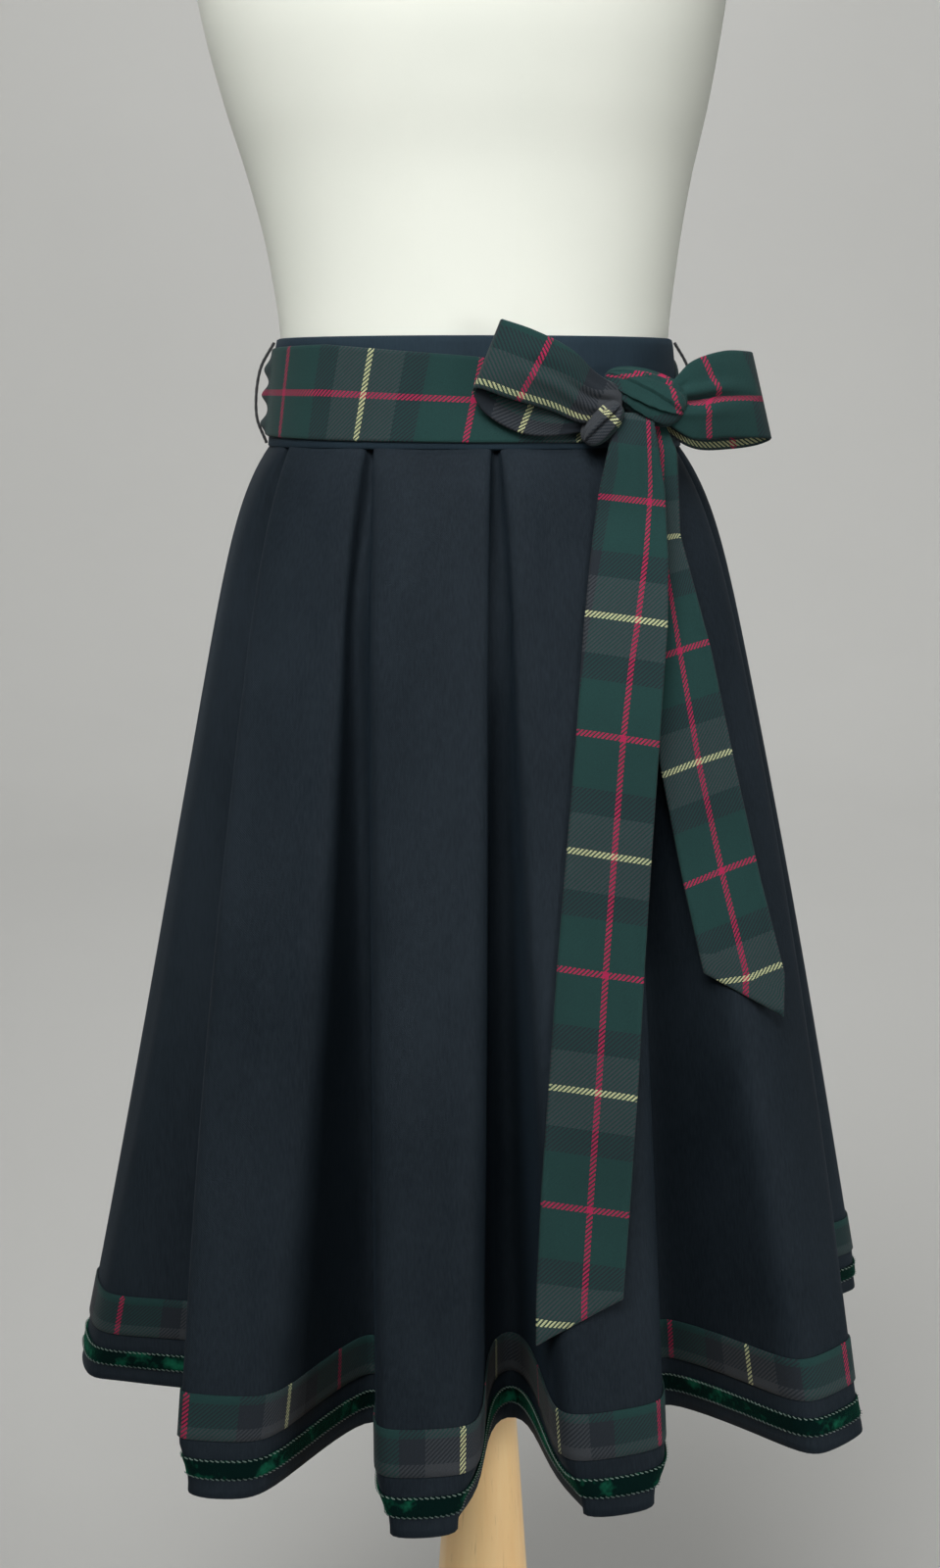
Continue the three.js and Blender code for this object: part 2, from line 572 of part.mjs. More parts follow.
// The round wooden foot, flat underneath, with a rounded upper edge
function formBase() {
  const { radius, thick, edge } = BASE;
  const rim = [0, 30, 60, 90].map((angle) => ({
    radius: radius - edge + edge * Math.cos(radians(angle)),
    height: thick - edge + edge * Math.sin(radians(angle)),
  }));
  const rings = [{ radius: radius - BASE_BREAK, height: 0 }, { radius, height: BASE_BREAK }, ...rim];
  return drumGeometry(rings.map((ring) => ovalRing(ring.radius, ring.radius, ring.height, STAND_ROUND)));
}

const part = new THREE.Group();

// Adds a piece to the part under its name
function add(name, geometry, colour, roughness) {
  const material = new THREE.MeshStandardMaterial({ color: colour, roughness, metalness: 0 });
  const mesh = new THREE.Mesh(geometry, material);
  mesh.name = name;
  part.add(mesh);
}

add("form_base", formBase().translate(STAND_SHIFT, 0, 0), COLOURS.wood, 0.5);
add("form_column", formColumn().translate(STAND_SHIFT, 0, 0), COLOURS.wood, 0.5);
add("form_torso", formTorso(), COLOURS.form, 0.55);

add("skirt_front", skirtPanel(PANELS.front), COLOURS.skirt, 0.8);
add("skirt_back_right", skirtPanel(PANELS.backRight), COLOURS.skirt, 0.8);
add("skirt_back_left", skirtPanel(PANELS.backLeft), COLOURS.skirt, 0.8);
add("waistband", waistband(), COLOURS.band, 0.8);
add("hem_check_border", hemTrim(BORDER), COLOURS.check, 0.85);
add("hem_velvet_ribbon", hemTrim(RIBBON), COLOURS.velvet, 0.9);

const grownKnot = knotTurn(KNOT, GAP);
const grownUnderTurn = knotTurn(UNDER_TURN, GAP);
const longTail = cutBy(sashTail(LONG_TAIL, LONG_END), grownKnot);
add("sash_belt", sashBelt(), COLOURS.check, 0.85);
add("bow_knot", knotTurn(KNOT), COLOURS.check, 0.85);
add("bow_under_turn", cutBy(knotTurn(UNDER_TURN), grownKnot), COLOURS.check, 0.85);
add("bow_loop_left", cutBy(cutBy(bowLoop(LEFT_LOOP), grownKnot), grownUnderTurn), COLOURS.check, 0.85);
add("bow_loop_right", cutBy(bowLoop(RIGHT_LOOP), grownKnot), COLOURS.check, 0.85);
add("sash_tail_long", cutBy(longTail, grownUnderTurn), COLOURS.check, 0.85);
add("sash_tail_short", cutBy(sashTail(SHORT_TAIL, SHORT_END), grownKnot), COLOURS.check, 0.85);
add("belt_loop_left", beltLoop(-1), COLOURS.thread, 0.7);
add("belt_loop_right", beltLoop(1), COLOURS.thread, 0.7);

export default part;
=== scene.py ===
"""A box-pleated skirt with a checked sash on a dress form.

The shapes are worked out in millimetres, as a cutter would write them, and every mesh is made in metres in
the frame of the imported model. Angles round the figure are in degrees from the front, positive towards +X.
"""

import logging
import math
from dataclasses import dataclass
from enum import Enum
from functools import cache

import bmesh
import bpy
import numpy as np
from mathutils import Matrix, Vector

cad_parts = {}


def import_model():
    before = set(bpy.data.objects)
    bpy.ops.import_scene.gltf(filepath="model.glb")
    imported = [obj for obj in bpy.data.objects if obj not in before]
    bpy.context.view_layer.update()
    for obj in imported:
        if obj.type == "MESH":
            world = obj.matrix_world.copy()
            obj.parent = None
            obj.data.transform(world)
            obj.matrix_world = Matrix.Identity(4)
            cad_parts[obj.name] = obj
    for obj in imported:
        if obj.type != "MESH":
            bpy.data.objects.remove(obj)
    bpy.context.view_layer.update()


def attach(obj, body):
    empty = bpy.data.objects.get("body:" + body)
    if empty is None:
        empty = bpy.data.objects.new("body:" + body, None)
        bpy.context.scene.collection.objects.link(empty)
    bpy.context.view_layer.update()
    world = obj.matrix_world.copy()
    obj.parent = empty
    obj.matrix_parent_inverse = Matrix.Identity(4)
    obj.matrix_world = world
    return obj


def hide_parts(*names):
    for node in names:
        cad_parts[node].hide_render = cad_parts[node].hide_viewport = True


log = logging.getLogger("skirt")

MM = 0.001
FULL_TURN = 2 * math.pi
TO_FRONT = np.array([0.0, -1.0, 0.0])
UP = np.array([0.0, 0.0, 1.0])

# Heights over the floor, and the half width and half depth of the band at its seam and its top
HEM = 430.0
SEAM = 1052.0
BAND_TOP = 1116.0
DROP = SEAM - HEM
BAND = BAND_TOP - SEAM
SEAM_OVAL = (128.5, 101.5)
TOP_OVAL = (122.6, 95.6)

# The thickness of each cloth, the sash's finished width, and the gap between a piece and what it lies on
CLOTH = 2.0
BAND_CLOTH = 2.5
SASH_CLOTH = 1.8
TRIM_CLOTH = 1.0
SASH_WIDE = 51.0
GAP = 0.3

Colour = tuple[int, int, int]


def linear(red: float, green: float, blue: float) -> tuple[float, float, float, float]:
    """Turns a colour as a screen shows it, in 0 to 255 steps, into the renderer's own values."""
    shares = [value / 255 for value in (red, green, blue)]
    return *[share / 12.92 if share <= 0.04045 else ((share + 0.055) / 1.055) ** 2.4 for share in shares], 1.0


def smooth(value: np.ndarray | float) -> np.ndarray | float:
    """Eases from 0 to 1."""
    held = np.clip(value, 0.0, 1.0)
    return held * held * (3 - 2 * held)


def oval_point(wide: float, deep: float, angle: np.ndarray | float) -> np.ndarray:
    """Gives the place on an oval plan at an angle."""
    turn = np.radians(angle)
    return np.stack([wide * np.sin(turn), -deep * np.cos(turn)], axis=-1)


def polar_point(angle: float, reach: float) -> np.ndarray:
    """Gives the place at a true angle and distance from the axis."""
    return oval_point(reach, reach, angle)


def round_grid(wide: np.ndarray, deep: np.ndarray, angle: np.ndarray, height: np.ndarray) -> np.ndarray:
    """Gives a grid of points round the figure, from half widths, half depths, angles and heights."""
    plan = oval_point(wide, deep, angle)
    return np.dstack([plan, np.broadcast_to(height, plan.shape[:2])])


def along_cloth(angle: float) -> np.ndarray:
    """Gives the direction along the cloth of something that faces an angle."""
    turn = math.radians(angle)
    return np.array([math.cos(turn), math.sin(turn)])


def curve_through(points: np.ndarray, shares: np.ndarray) -> np.ndarray:
    """Reads a smooth curve through some points.

    Args:
        points: The points that the curve goes through, one a row.
        shares: Where to read it, from 0 at the first point to 1 at the last.

    Returns:
        One point for each share.
    """
    count = len(points)
    ends = np.vstack([2 * points[0] - points[1], points, 2 * points[-1] - points[-2]])
    out = []
    for share in shares:
        place = min(max(share, 0.0), 1.0) * (count - 1)
        step = min(int(place), count - 2)
        f = place - step
        near = ends[step:step + 4]
        gaps = [max(float(np.linalg.norm(near[i + 1] - near[i])), 1e-6) ** 0.5 for i in range(3)]
        slope_a = ((near[1] - near[0]) / gaps[0] - (near[2] - near[0]) / (gaps[0] + gaps[1])
                   + (near[2] - near[1]) / gaps[1]) * gaps[1]
        slope_b = ((near[2] - near[1]) / gaps[1] - (near[3] - near[1]) / (gaps[1] + gaps[2])
                   + (near[3] - near[2]) / gaps[2]) * gaps[1]
        rise = near[2] - near[1]
        out.append(near[1] + slope_a * f + (3 * rise - 2 * slope_a - slope_b) * f * f
                   + (slope_a + slope_b - 2 * rise) * f ** 3)
    return np.array(out)


@dataclass(frozen=True)
class Crease:
    """A soft trough in cloth, or a ridge where its depth is negative.

    Args:
        place: Where it is across the cloth at its start, in the cloth's own steps.
        drift: How far it has moved across at its end.
        start: Where it starts along the cloth, from 0 to 1.
        end: Where it ends.
        depth: How deep it is at its deepest, in millimetres.
        width: Half of its width, in the same steps as its place.
        peak: Where along itself it is deepest.
    """

    place: float
    drift: float
    start: float
    end: float
    depth: float
    width: float
    peak: float = 0.5

    def push(self, across: np.ndarray, along: np.ndarray, period: float | None = None) -> np.ndarray:
        """Gives how far the crease sets the cloth back.

        Args:
            across: Places across the cloth.
            along: Places along it.
            period: The number of steps after which the cloth meets itself, if it does.

        Returns:
            The depth at each place, in millimetres.
        """
        run = np.clip((along - self.start) / (self.end - self.start), 0.0, 1.0)
        warped = run ** (math.log(0.5) / math.log(self.peak))
        deep = np.sin(np.pi * warped) ** 2
        away = across - (self.place + self.drift * run)
        if period:
            away = (away + period / 2) % period - period / 2
        return self.depth * deep * np.exp(-(away / self.width) ** 2)


def creases(*rows: tuple[float, ...]) -> tuple[Crease, ...]:
    """Makes creases, each from a row of its values."""
    return tuple(Crease(*row) for row in rows)


def curls(*rows: tuple[float, float, float, float]) -> tuple[Crease, ...]:
    """Makes curls at an edge, each from its place, how far up it reaches, its depth and its width."""
    return tuple(Crease(place, 0.0, 1 - up, 1 + up, depth, width) for place, up, depth, width in rows)


def unit(vectors: np.ndarray) -> np.ndarray:
    """Makes each vector one long."""
    return vectors / np.maximum(np.linalg.norm(vectors, axis=-1, keepdims=True), 1e-9)


def run_along(points: np.ndarray) -> np.ndarray:
    """Gives the length along each row of a grid, from its first column."""
    steps = np.linalg.norm(np.diff(points, axis=1), axis=-1)
    return np.concatenate([np.zeros((len(points), 1)), np.cumsum(steps, axis=1)], axis=1)


def grid_facing(points: np.ndarray, joined: bool = False) -> np.ndarray:
    """Gives the direction that each point of a grid faces.

    Args:
        points: The grid, with its rows downwards and its columns to the right.
        joined: Whether the last column meets the first.

    Returns:
        The directions.
    """
    if joined:
        across = (np.roll(points, -1, axis=1) - np.roll(points, 1, axis=1)) / 2
    else:
        across = np.gradient(points, axis=1)
    return unit(np.cross(np.gradient(points, axis=0), across))


def shade_smooth(mesh: bpy.types.Mesh) -> None:
    """Makes all faces of a mesh smooth shaded."""
    mesh.polygons.foreach_set("use_smooth", np.ones(len(mesh.polygons), dtype=bool))


def new_piece(name: str, points: np.ndarray, faces: np.ndarray) -> bpy.types.Object:
    """Makes a smooth shaded piece.

    Args:
        name: The piece's name.
        points: Its points in millimetres.
        faces: The four corners of each face.

    Returns:
        The piece.
    """
    mesh = bpy.data.meshes.new(name)
    mesh.from_pydata((points.reshape(-1, 3) * MM).tolist(), [], faces.reshape(-1, 4).tolist())
    shade_smooth(mesh)
    mesh.update()
    piece = bpy.data.objects.new(name, mesh)
    bpy.context.scene.collection.objects.link(piece)
    return piece


def sewn_mesh(name: str, ring: np.ndarray, flat: np.ndarray, joined: bool = True,
              tube: bool = False) -> bpy.types.Object:
    """Makes a mesh from a grid.

    Args:
        name: The piece's name.
        ring: Rows and columns of points in millimetres.
        flat: The place of each on the flat cloth, with one more column where the columns are joined.
        joined: Whether the last column meets the first.
        tube: Whether the last row meets the first.

    Returns:
        The piece, with the cloth's own millimetres in its map.
    """
    rows, columns = ring.shape[:2]
    last_column = columns if joined else columns - 1
    last_row = rows if tube else rows - 1
    row, column = np.meshgrid(np.arange(last_row), np.arange(last_column), indexing="ij")
    steps = ((0, 0), (1, 0), (1, 1), (0, 1))
    corners = [(row + down) % rows * columns + (column + right) % columns for down, right in steps]
    places = [flat[(row + down) % rows, column + right] for down, right in steps]
    piece = new_piece(name, ring, np.stack(corners, axis=-1))
    layer = piece.data.uv_layers.new(name="cloth")
    layer.data.foreach_set("uv", (np.stack(places, axis=2) * MM).ravel().astype(np.float32))
    piece.data.validate()
    return piece


def close_ends(piece: bpy.types.Object) -> bpy.types.Object:
    """Joins the points that meet at a mesh's open ends, closes what is left and turns its faces out.

    Args:
        piece: The piece with the open ends.

    Returns:
        The same piece, closed.
    """
    sheet = bmesh.new()
    sheet.from_mesh(piece.data)
    ends = list({corner for edge in sheet.edges if edge.is_boundary for corner in edge.verts})
    bmesh.ops.remove_doubles(sheet, verts=ends, dist=1e-6)
    bmesh.ops.holes_fill(sheet, edges=[edge for edge in sheet.edges if edge.is_boundary])
    bmesh.ops.recalc_face_normals(sheet, faces=sheet.faces)
    sheet.to_mesh(piece.data)
    sheet.free()
    shade_smooth(piece.data)
    return piece


def solid(name: str, points: np.ndarray, flat: np.ndarray) -> bpy.types.Object:
    """Makes a round closed mesh from a grid whose last column repeats its first."""
    return close_ends(sewn_mesh(name, points[:, :-1], flat))


@dataclass
class Cloth:
    """A grid of cloth, in millimetres.

    Args:
        points: Rows and columns of points.
        facing: The outward direction at each point.
        flat: The place of each on the flat cloth, with one more column where the grid is joined.
        joined: Whether the last column meets the first.
    """

    points: np.ndarray
    facing: np.ndarray
    flat: np.ndarray
    joined: bool = False

    RIM = 0.4

    def shell(self, name: str, thick: float, out: float = 0.0) -> bpy.types.Object:
        """Makes the cloth a thin closed shell with rounded edges.

        Args:
            name: The piece's name.
            thick: How thick the cloth is, inwards from its face.
            out: How far its face is moved out first.

        Returns:
            The piece.
        """
        face = self.points + self.facing * out
        back = face - self.facing * thick
        middle = (face + back) / 2

        def rim(edge: np.ndarray, inside: np.ndarray) -> np.ndarray:
            """Gives the line past an edge that rounds it."""
            return edge + unit(edge - inside) * thick * self.RIM

        low_rim, top_rim = rim(middle[-1], middle[-2]), rim(middle[0], middle[1])
        ring = np.concatenate([face, low_rim[None], back[::-1], top_rim[None]])
        flat = wrapped(self.flat)
        if self.joined:
            return sewn_mesh(name, ring, flat, tube=True)
        first, last = rim(middle[:, 0], middle[:, 1]), rim(middle[:, -1], middle[:, -2])
        ring = np.concatenate([wrapped(first)[:, None], ring, wrapped(last)[:, None]], axis=1)
        flat = np.concatenate([flat[:, :1], flat, flat[:, -1:]], axis=1)
        return close_ends(sewn_mesh(name, ring, flat, joined=False, tube=True))


def wrapped(rows: np.ndarray) -> np.ndarray:
    """Leads the rows of a grid over its last edge, back on the other side and over its first edge."""
    return np.concatenate([rows, rows[-1:], rows[::-1], rows[:1]])


class NodeSheet:
    """A material's nodes, with short ways to add and link them."""

    def __init__(self, name: str) -> None:
        """Starts a material with one shader.

        Args:
            name: The material's name.
        """
        self.material = bpy.data.materials.new(name)
        self.material.use_nodes = True
        self.tree = self.material.node_tree
        self.tree.nodes.clear()
        output = self.tree.nodes.new("ShaderNodeOutputMaterial")
        self.shader = self.tree.nodes.new("ShaderNodeBsdfPrincipled")
        self.tree.links.new(self.shader.outputs[0], output.inputs[0])

    def node(self, kind: str, links: dict | None = None, **settings: object) -> bpy.types.Node:
        """Adds a node.

        Args:
            kind: Blender's name of the node.
            links: What each input gets, either an output or a value.
            **settings: The node's own settings.

        Returns:
            The node.
        """
        made = self.tree.nodes.new(kind)
        for key, value in settings.items():
            setattr(made, key, value)
        for key, value in (links or {}).items():
            self.give(made.inputs[key], value)
        return made

    def give(self, socket: bpy.types.NodeSocket, value: object) -> None:
        """Fills an input.

        Args:
            socket: The input.
            value: An output to link it to, or the value to set.
        """
        if isinstance(value, bpy.types.NodeSocket):
            self.tree.links.new(value, socket)
        else:
            socket.default_value = value

    def sum(self, operation: str, first: object, second: object = 0.0) -> bpy.types.NodeSocket:
        """Works out one value from two."""
        return self.node("ShaderNodeMath", {0: first, 1: second}, operation=operation).outputs[0]

    def blend(self, share: object, *colours: object) -> bpy.types.NodeSocket:
        """Mixes two colours, each an output or a colour as a screen shows it."""
        first, second = [linear(*colour) if isinstance(colour, tuple) else colour for colour in colours]
        return self.node("ShaderNodeMix", {0: share, 6: first, 7: second}, data_type="RGBA").outputs[2]

    def spread(self, value: object, low: float, high: float, to_low: float = 0.0,
               to_high: float = 1.0) -> bpy.types.NodeSocket:
        """Maps a value from one range to another."""
        sockets = {0: value, 1: low, 2: high, 3: to_low, 4: to_high}
        return self.node("ShaderNodeMapRange", sockets).outputs[0]

    def cloth_place(self) -> tuple[bpy.types.NodeSocket, bpy.types.NodeSocket]:
        """Gives the place on the flat cloth.

        Returns:
            How far along and how far across, in millimetres.
        """
        place = self.node("ShaderNodeUVMap", uv_map="cloth").outputs[0]
        scaled = self.node("ShaderNodeVectorMath", {0: place, 3: 1 / MM}, operation="SCALE").outputs[0]
        parts = self.node("ShaderNodeSeparateXYZ", {0: scaled})
        return parts.outputs[0], parts.outputs[1]

    def noise(self, scale: float, detail: float = 3.0, stretch: tuple[float, float, float] = (1, 1, 1),
              roughness: float = 0.5) -> bpy.types.NodeSocket:
        """Gives soft noise through the object's own space.

        Args:
            scale: Its fineness, in waves for each metre.
            detail: How many finer layers it has.
            stretch: How much finer it is along each axis.
            roughness: How strong the finer layers are.

        Returns:
            A value from 0 to 1.
        """
        place = self.node("ShaderNodeTexCoord").outputs["Object"]
        moved = self.node("ShaderNodeMapping", {0: place, 3: stretch}).outputs[0]
        sockets = {"Vector": moved, "Scale": scale, "Detail": detail, "Roughness": roughness}
        return self.node("ShaderNodeTexNoise", sockets).outputs[0]

    def relief(self, height: object, strength: float, depth: float,
               under: bpy.types.NodeSocket | None = None) -> bpy.types.NodeSocket:
        """Turns heights into a bump.

        Args:
            height: The heights, from 0 to 1.
            strength: How strong the bump is.
            depth: The height of 1, in metres.
            under: A bump that lies under this one.

        Returns:
            The bump's direction.
        """
        bump = self.node("ShaderNodeBump", {"Height": height, "Strength": strength, "Distance": depth})
        if under is not None:
            self.give(bump.inputs["Normal"], under)
        return bump.outputs[0]

    def finish(self, **sockets: object) -> bpy.types.Material:
        """Sets the shader's sockets, with _ for a space in each name, and gives the material."""
        for key, value in sockets.items():
            self.give(self.shader.inputs[key.replace("_", " ")], value)
        return self.material


@dataclass(frozen=True)
class BlackTwill:
    """Smooth black suiting with a fine twill line."""

    name: str = "black_twill"
    lit: Colour = (39, 47, 54)
    deep: Colour = (26, 33, 39)
    line: Colour = (8, 12, 16)
    sheen: Colour = (130, 165, 195)
    wale: float = 1.0
    roughness: float = 0.62

    def make(self) -> bpy.types.Material:
        """Makes the material.

        Returns:
            The material.
        """
        sheet = NodeSheet(self.name)
        along, across = sheet.cloth_place()
        diagonal = sheet.sum("DIVIDE", sheet.sum("ADD", along, across), self.wale)
        wave = sheet.sum("SINE", sheet.sum("MULTIPLY", diagonal, 2 * math.pi))
        slub = sheet.noise(900.0, 2.0, (1.0, 1.0, 0.12))
        cloudy = sheet.noise(9.0, 4.0, (1.0, 1.0, 0.5), 0.6)
        tone = sheet.spread(sheet.sum("ADD", cloudy, sheet.sum("MULTIPLY", slub, 0.5)), 0.55, 0.95)
        colour = sheet.blend(tone, self.deep, self.lit)
        lined = sheet.blend(sheet.spread(wave, -1.0, 1.0, 0.0, 0.3), colour, self.line)
        height = sheet.sum("ADD", wave, sheet.sum("MULTIPLY", slub, 1.5))
        bump = sheet.relief(height, 0.35, 0.00012)
        rough = sheet.spread(cloudy, 0.3, 0.7, self.roughness - 0.06, self.roughness + 0.06)
        return sheet.finish(Base_Color=lined, Roughness=rough, Normal=bump, Sheen_Weight=0.04,
                            Sheen_Roughness=0.4, Sheen_Tint=linear(*self.sheen), Specular_IOR_Level=0.04)


@dataclass(frozen=True)
class CheckedTwill:
    """Wool twill in a checked sett: threads of both directions show in turn along the twill's diagonal."""

    name: str = "checked_twill"
    thread: float = 0.68
    red: Colour = (166, 38, 78)
    green: Colour = (33, 62, 60)
    dark: Colour = (38, 43, 49)
    brown: Colour = (62, 65, 69)
    yellow: Colour = (196, 198, 152)
    fuzz: Colour = (24, 30, 32)
    shade: Colour = (20, 26, 28)
    red_wide: float = 4.0
    green_wide: float = 28.5
    dark_wide: float = 14.5
    brown_wide: float = 19.8
    yellow_wide: float = 3.9

    def repeat(self) -> float:
        """Gives the length after which the sett comes again, in millimetres."""
        sides = 2 * (self.green_wide + self.dark_wide + self.brown_wide)
        return self.red_wide + self.yellow_wide + sides

    def stripes(self, sheet: NodeSheet, place: bpy.types.NodeSocket) -> bpy.types.NodeSocket:
        """Gives the colour of the threads that lie at a place.

        Args:
            sheet: The nodes.
            place: The place, in millimetres from a red line's middle.

        Returns:
            The colour.
        """
        shares = sheet.sum("FRACT", sheet.sum("ADD", sheet.sum("DIVIDE", place, self.repeat()), 100.0))
        ramp = sheet.node("ShaderNodeValToRGB", {0: shares})
        ramp.color_ramp.interpolation = "CONSTANT"
        half = [(self.red_wide / 2, self.red), (self.green_wide, self.green), (self.dark_wide, self.dark),
                (self.brown_wide, self.brown)]
        start = 0.0
        for index, (wide, colour) in enumerate([*half, (self.yellow_wide, self.yellow), *half[::-1]]):
            share = start / self.repeat()
            stops = ramp.color_ramp.elements
            stop = stops[0] if index == 0 else stops.new(share) if index > 1 else stops[1]
            stop.position = share
            stop.color = linear(*colour)
            start += wide
        return ramp.outputs[0]

    def make(self) -> bpy.types.Material:
        """Makes the material.

        Returns:
            The material.
        """
        sheet = NodeSheet(self.name)
        along, across = sheet.cloth_place()
        columns = sheet.sum("DIVIDE", along, self.thread)
        rows = sheet.sum("DIVIDE", across, self.thread)
        counted = sheet.sum("ADD", sheet.sum("FLOOR", columns), sheet.sum("FLOOR", rows))
        turn = sheet.sum("FRACT", sheet.sum("ADD", sheet.sum("MULTIPLY", counted, 0.25), 100.0))
        over = sheet.sum("LESS_THAN", turn, 0.5)
        colour = sheet.blend(over, self.stripes(sheet, along), self.stripes(sheet, across))
        fuzz = sheet.noise(1500.0, 2.0)
        cloudy = sheet.noise(14.0, 3.0)
        worn = sheet.blend(sheet.spread(fuzz, 0.35, 0.75, 0.0, 0.28), colour, self.fuzz)
        shade = sheet.blend(sheet.spread(cloudy, 0.35, 0.7, 0.0, 0.2), worn, self.shade)
        round_column = sheet.sum("SINE", sheet.sum("MULTIPLY", sheet.sum("FRACT", columns), math.pi))
        round_row = sheet.sum("SINE", sheet.sum("MULTIPLY", sheet.sum("FRACT", rows), math.pi))
        thread = sheet.node("ShaderNodeMix", {0: over, 2: round_column, 3: round_row}).outputs[0]
        height = sheet.sum("ADD", thread, sheet.sum("MULTIPLY", fuzz, 0.8))
        bump = sheet.relief(height, 0.4, 0.00018)
        return sheet.finish(Base_Color=shade, Roughness=0.8, Normal=bump, Sheen_Weight=0.05,
                            Sheen_Roughness=0.5, Specular_IOR_Level=0.06)


@dataclass(frozen=True)
class Velvet:
    """Dark green velvet with lighter green patches set at random. They are partly crushed pile and partly
    painted sheen, standing in for the shine of velvet turned away from the eye.
    """

    name: str = "green_velvet"
    base: Colour = (3, 24, 22)
    # The lighter green of the patches: partly crushed pile, partly painted sheen
    crushed_and_sheen: Colour = (22, 92, 68)
    sheen: Colour = (40, 140, 105)

    def make(self) -> bpy.types.Material:
        """Makes the material.

        Returns:
            The material.
        """
        sheet = NodeSheet(self.name)
        patches = sheet.noise(60.0, 3.0, roughness=0.65)
        pile = sheet.noise(2600.0, 2.0)
        # Where the lighter patches lie, at random places: painted sheen mixed with crushed pile
        share = sheet.spread(patches, 0.52, 0.7)
        colour = sheet.blend(share, self.base, self.crushed_and_sheen)
        bump = sheet.relief(pile, 0.7, 0.0006, sheet.relief(patches, 0.5, 0.002))
        return sheet.finish(Base_Color=colour, Roughness=0.85, Normal=bump, Sheen_Weight=0.6,
                            Sheen_Roughness=0.22, Sheen_Tint=linear(*self.sheen), Specular_IOR_Level=0.04)


@dataclass(frozen=True)
class Thread:
    """Twisted thread with a silky shine, and painted shade in the grooves of its twist."""

    name: str
    colour: Colour
    shine: float = 0.35
    twist: float = 1400.0

    def make(self) -> bpy.types.Material:
        """Makes the material.

        Returns:
            The material.
        """
        sheet = NodeSheet(self.name)
        place = sheet.node("ShaderNodeTexCoord").outputs["Object"]
        wave = sheet.node("ShaderNodeTexWave", {"Vector": place, "Scale": self.twist, "Distortion": 1.5},
                          bands_direction="DIAGONAL").outputs[1]
        # The twist's grooves, where the bump is low, take a darker copy of the thread's colour: painted shade
        dark = tuple(int(value * 0.45) for value in self.colour)
        colour = sheet.blend(wave, dark, self.colour)
        bump = sheet.relief(wave, 0.5, 0.0002)
        return sheet.finish(Base_Color=colour, Roughness=self.shine, Normal=bump, Sheen_Weight=0.3)


@dataclass(frozen=True)
class FormCover:
    """The smooth off-white cover of the dress form."""

    name: str = "form_cover"
    colour: Colour = (230, 232, 222)
    shaded: Colour = (222, 225, 215)

    def make(self) -> bpy.types.Material:
        """Makes the material.

        Returns:
            The material.
        """
        sheet = NodeSheet(self.name)
        cloudy = sheet.noise(5.0, 3.0)
        weave = sheet.noise(2200.0, 2.0, (1.0, 1.0, 0.4))
        share = sheet.spread(cloudy, 0.35, 0.7)
        colour = sheet.blend(share, self.colour, self.shaded)
        bump = sheet.relief(weave, 0.12, 0.0003)
        rough = sheet.spread(cloudy, 0.3, 0.7, 0.5, 0.6)
        return sheet.finish(Base_Color=colour, Roughness=rough, Normal=bump, Specular_IOR_Level=0.3)


@dataclass(frozen=True)
class PaleWood:
    """Pale turned wood under a thin varnish, with its grain up the column."""

    name: str = "pale_wood"
    light: Colour = (254, 222, 166)
    deep: Colour = (246, 200, 138)
    pore: Colour = (150, 110, 74)

    def make(self) -> bpy.types.Material:
        """Makes the material.

        Returns:
            The material.
        """
        sheet = NodeSheet(self.name)
        rings = sheet.noise(55.0, 5.0, (1.0, 1.0, 0.045), 0.62)
        pores = sheet.noise(420.0, 3.0, (1.0, 1.0, 0.03), 0.7)
        broad = sheet.noise(7.0, 2.0, (1.0, 1.0, 0.25))
        mixed = sheet.sum("ADD", sheet.sum("MULTIPLY", rings, 0.7), sheet.sum("MULTIPLY", broad, 0.5))
        share = sheet.spread(mixed, 0.42, 0.78)
        grain = sheet.blend(share, self.light, self.deep)
        colour = sheet.blend(sheet.spread(pores, 0.6, 0.8, 0.0, 0.45), grain, self.pore)
        bump = sheet.relief(pores, 0.12, 0.0004)
        rough = sheet.spread(rings, 0.3, 0.7, 0.36, 0.5)
        return sheet.finish(Base_Color=colour, Roughness=rough, Normal=bump, Coat_Weight=0.25,
                            Coat_Roughness=0.25)


@dataclass(frozen=True)
class PaleFloor:
    """A plain pale studio floor."""

    name: str = "pale_floor"
    colour: Colour = (206, 206, 203)

    def make(self) -> bpy.types.Material:
        """Makes the material.

        Returns:
            The material.
        """
        sheet = NodeSheet(self.name)
        cloudy = sheet.noise(1.5, 2.0)
        darker = tuple(value - 4 for value in self.colour)
        colour = sheet.blend(cloudy, self.colour, darker)
        return sheet.finish(Base_Color=colour, Roughness=0.8, Specular_IOR_Level=0.2)


class Finish(Enum):
    """The finishes of the pieces, each with the record's material slot that it belongs to."""

    SKIRT = BlackTwill(), "skirt_cloth"
    BAND = BlackTwill(name="band_twill", lit=(42, 56, 66), deep=(36, 48, 57)), "band_cloth"
    CHECK = CheckedTwill(), "check_cloth"
    VELVET = Velvet(), "velvet"
    # Both rows of loops on the ribbon are one thread in two tones: the upper row lighter, in painted sheen,
    # and the lower row darker, in painted shade
    PICOT = Thread("picot_thread", (128, 158, 146)), "thread"
    LOW_PICOT_PAINTED_SHADE = Thread("low_picot_thread_painted_shade", (78, 108, 100)), "thread"
    LOOP_THREAD = Thread("loop_thread", (26, 30, 34), 0.5), "thread"
    FORM = FormCover(), "form_cover"
    WOOD = PaleWood(), "wood"

    @cache
    def material(self) -> bpy.types.Material:
        """Makes the finish's material at the first call, and gives the same one after that."""
        return self.value[0].make()


def dress(piece: bpy.types.Object, finish: Finish, *nodes: str) -> bpy.types.Object:
    """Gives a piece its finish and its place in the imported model.

    Args:
        piece: The piece.
        finish: Its finish.
        *nodes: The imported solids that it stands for.

    Returns:
        The piece.
    """
    piece.data.materials.clear()
    piece.data.materials.append(finish.material())
    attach(piece, "root")
    if nodes:
        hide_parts(*nodes)
    return piece


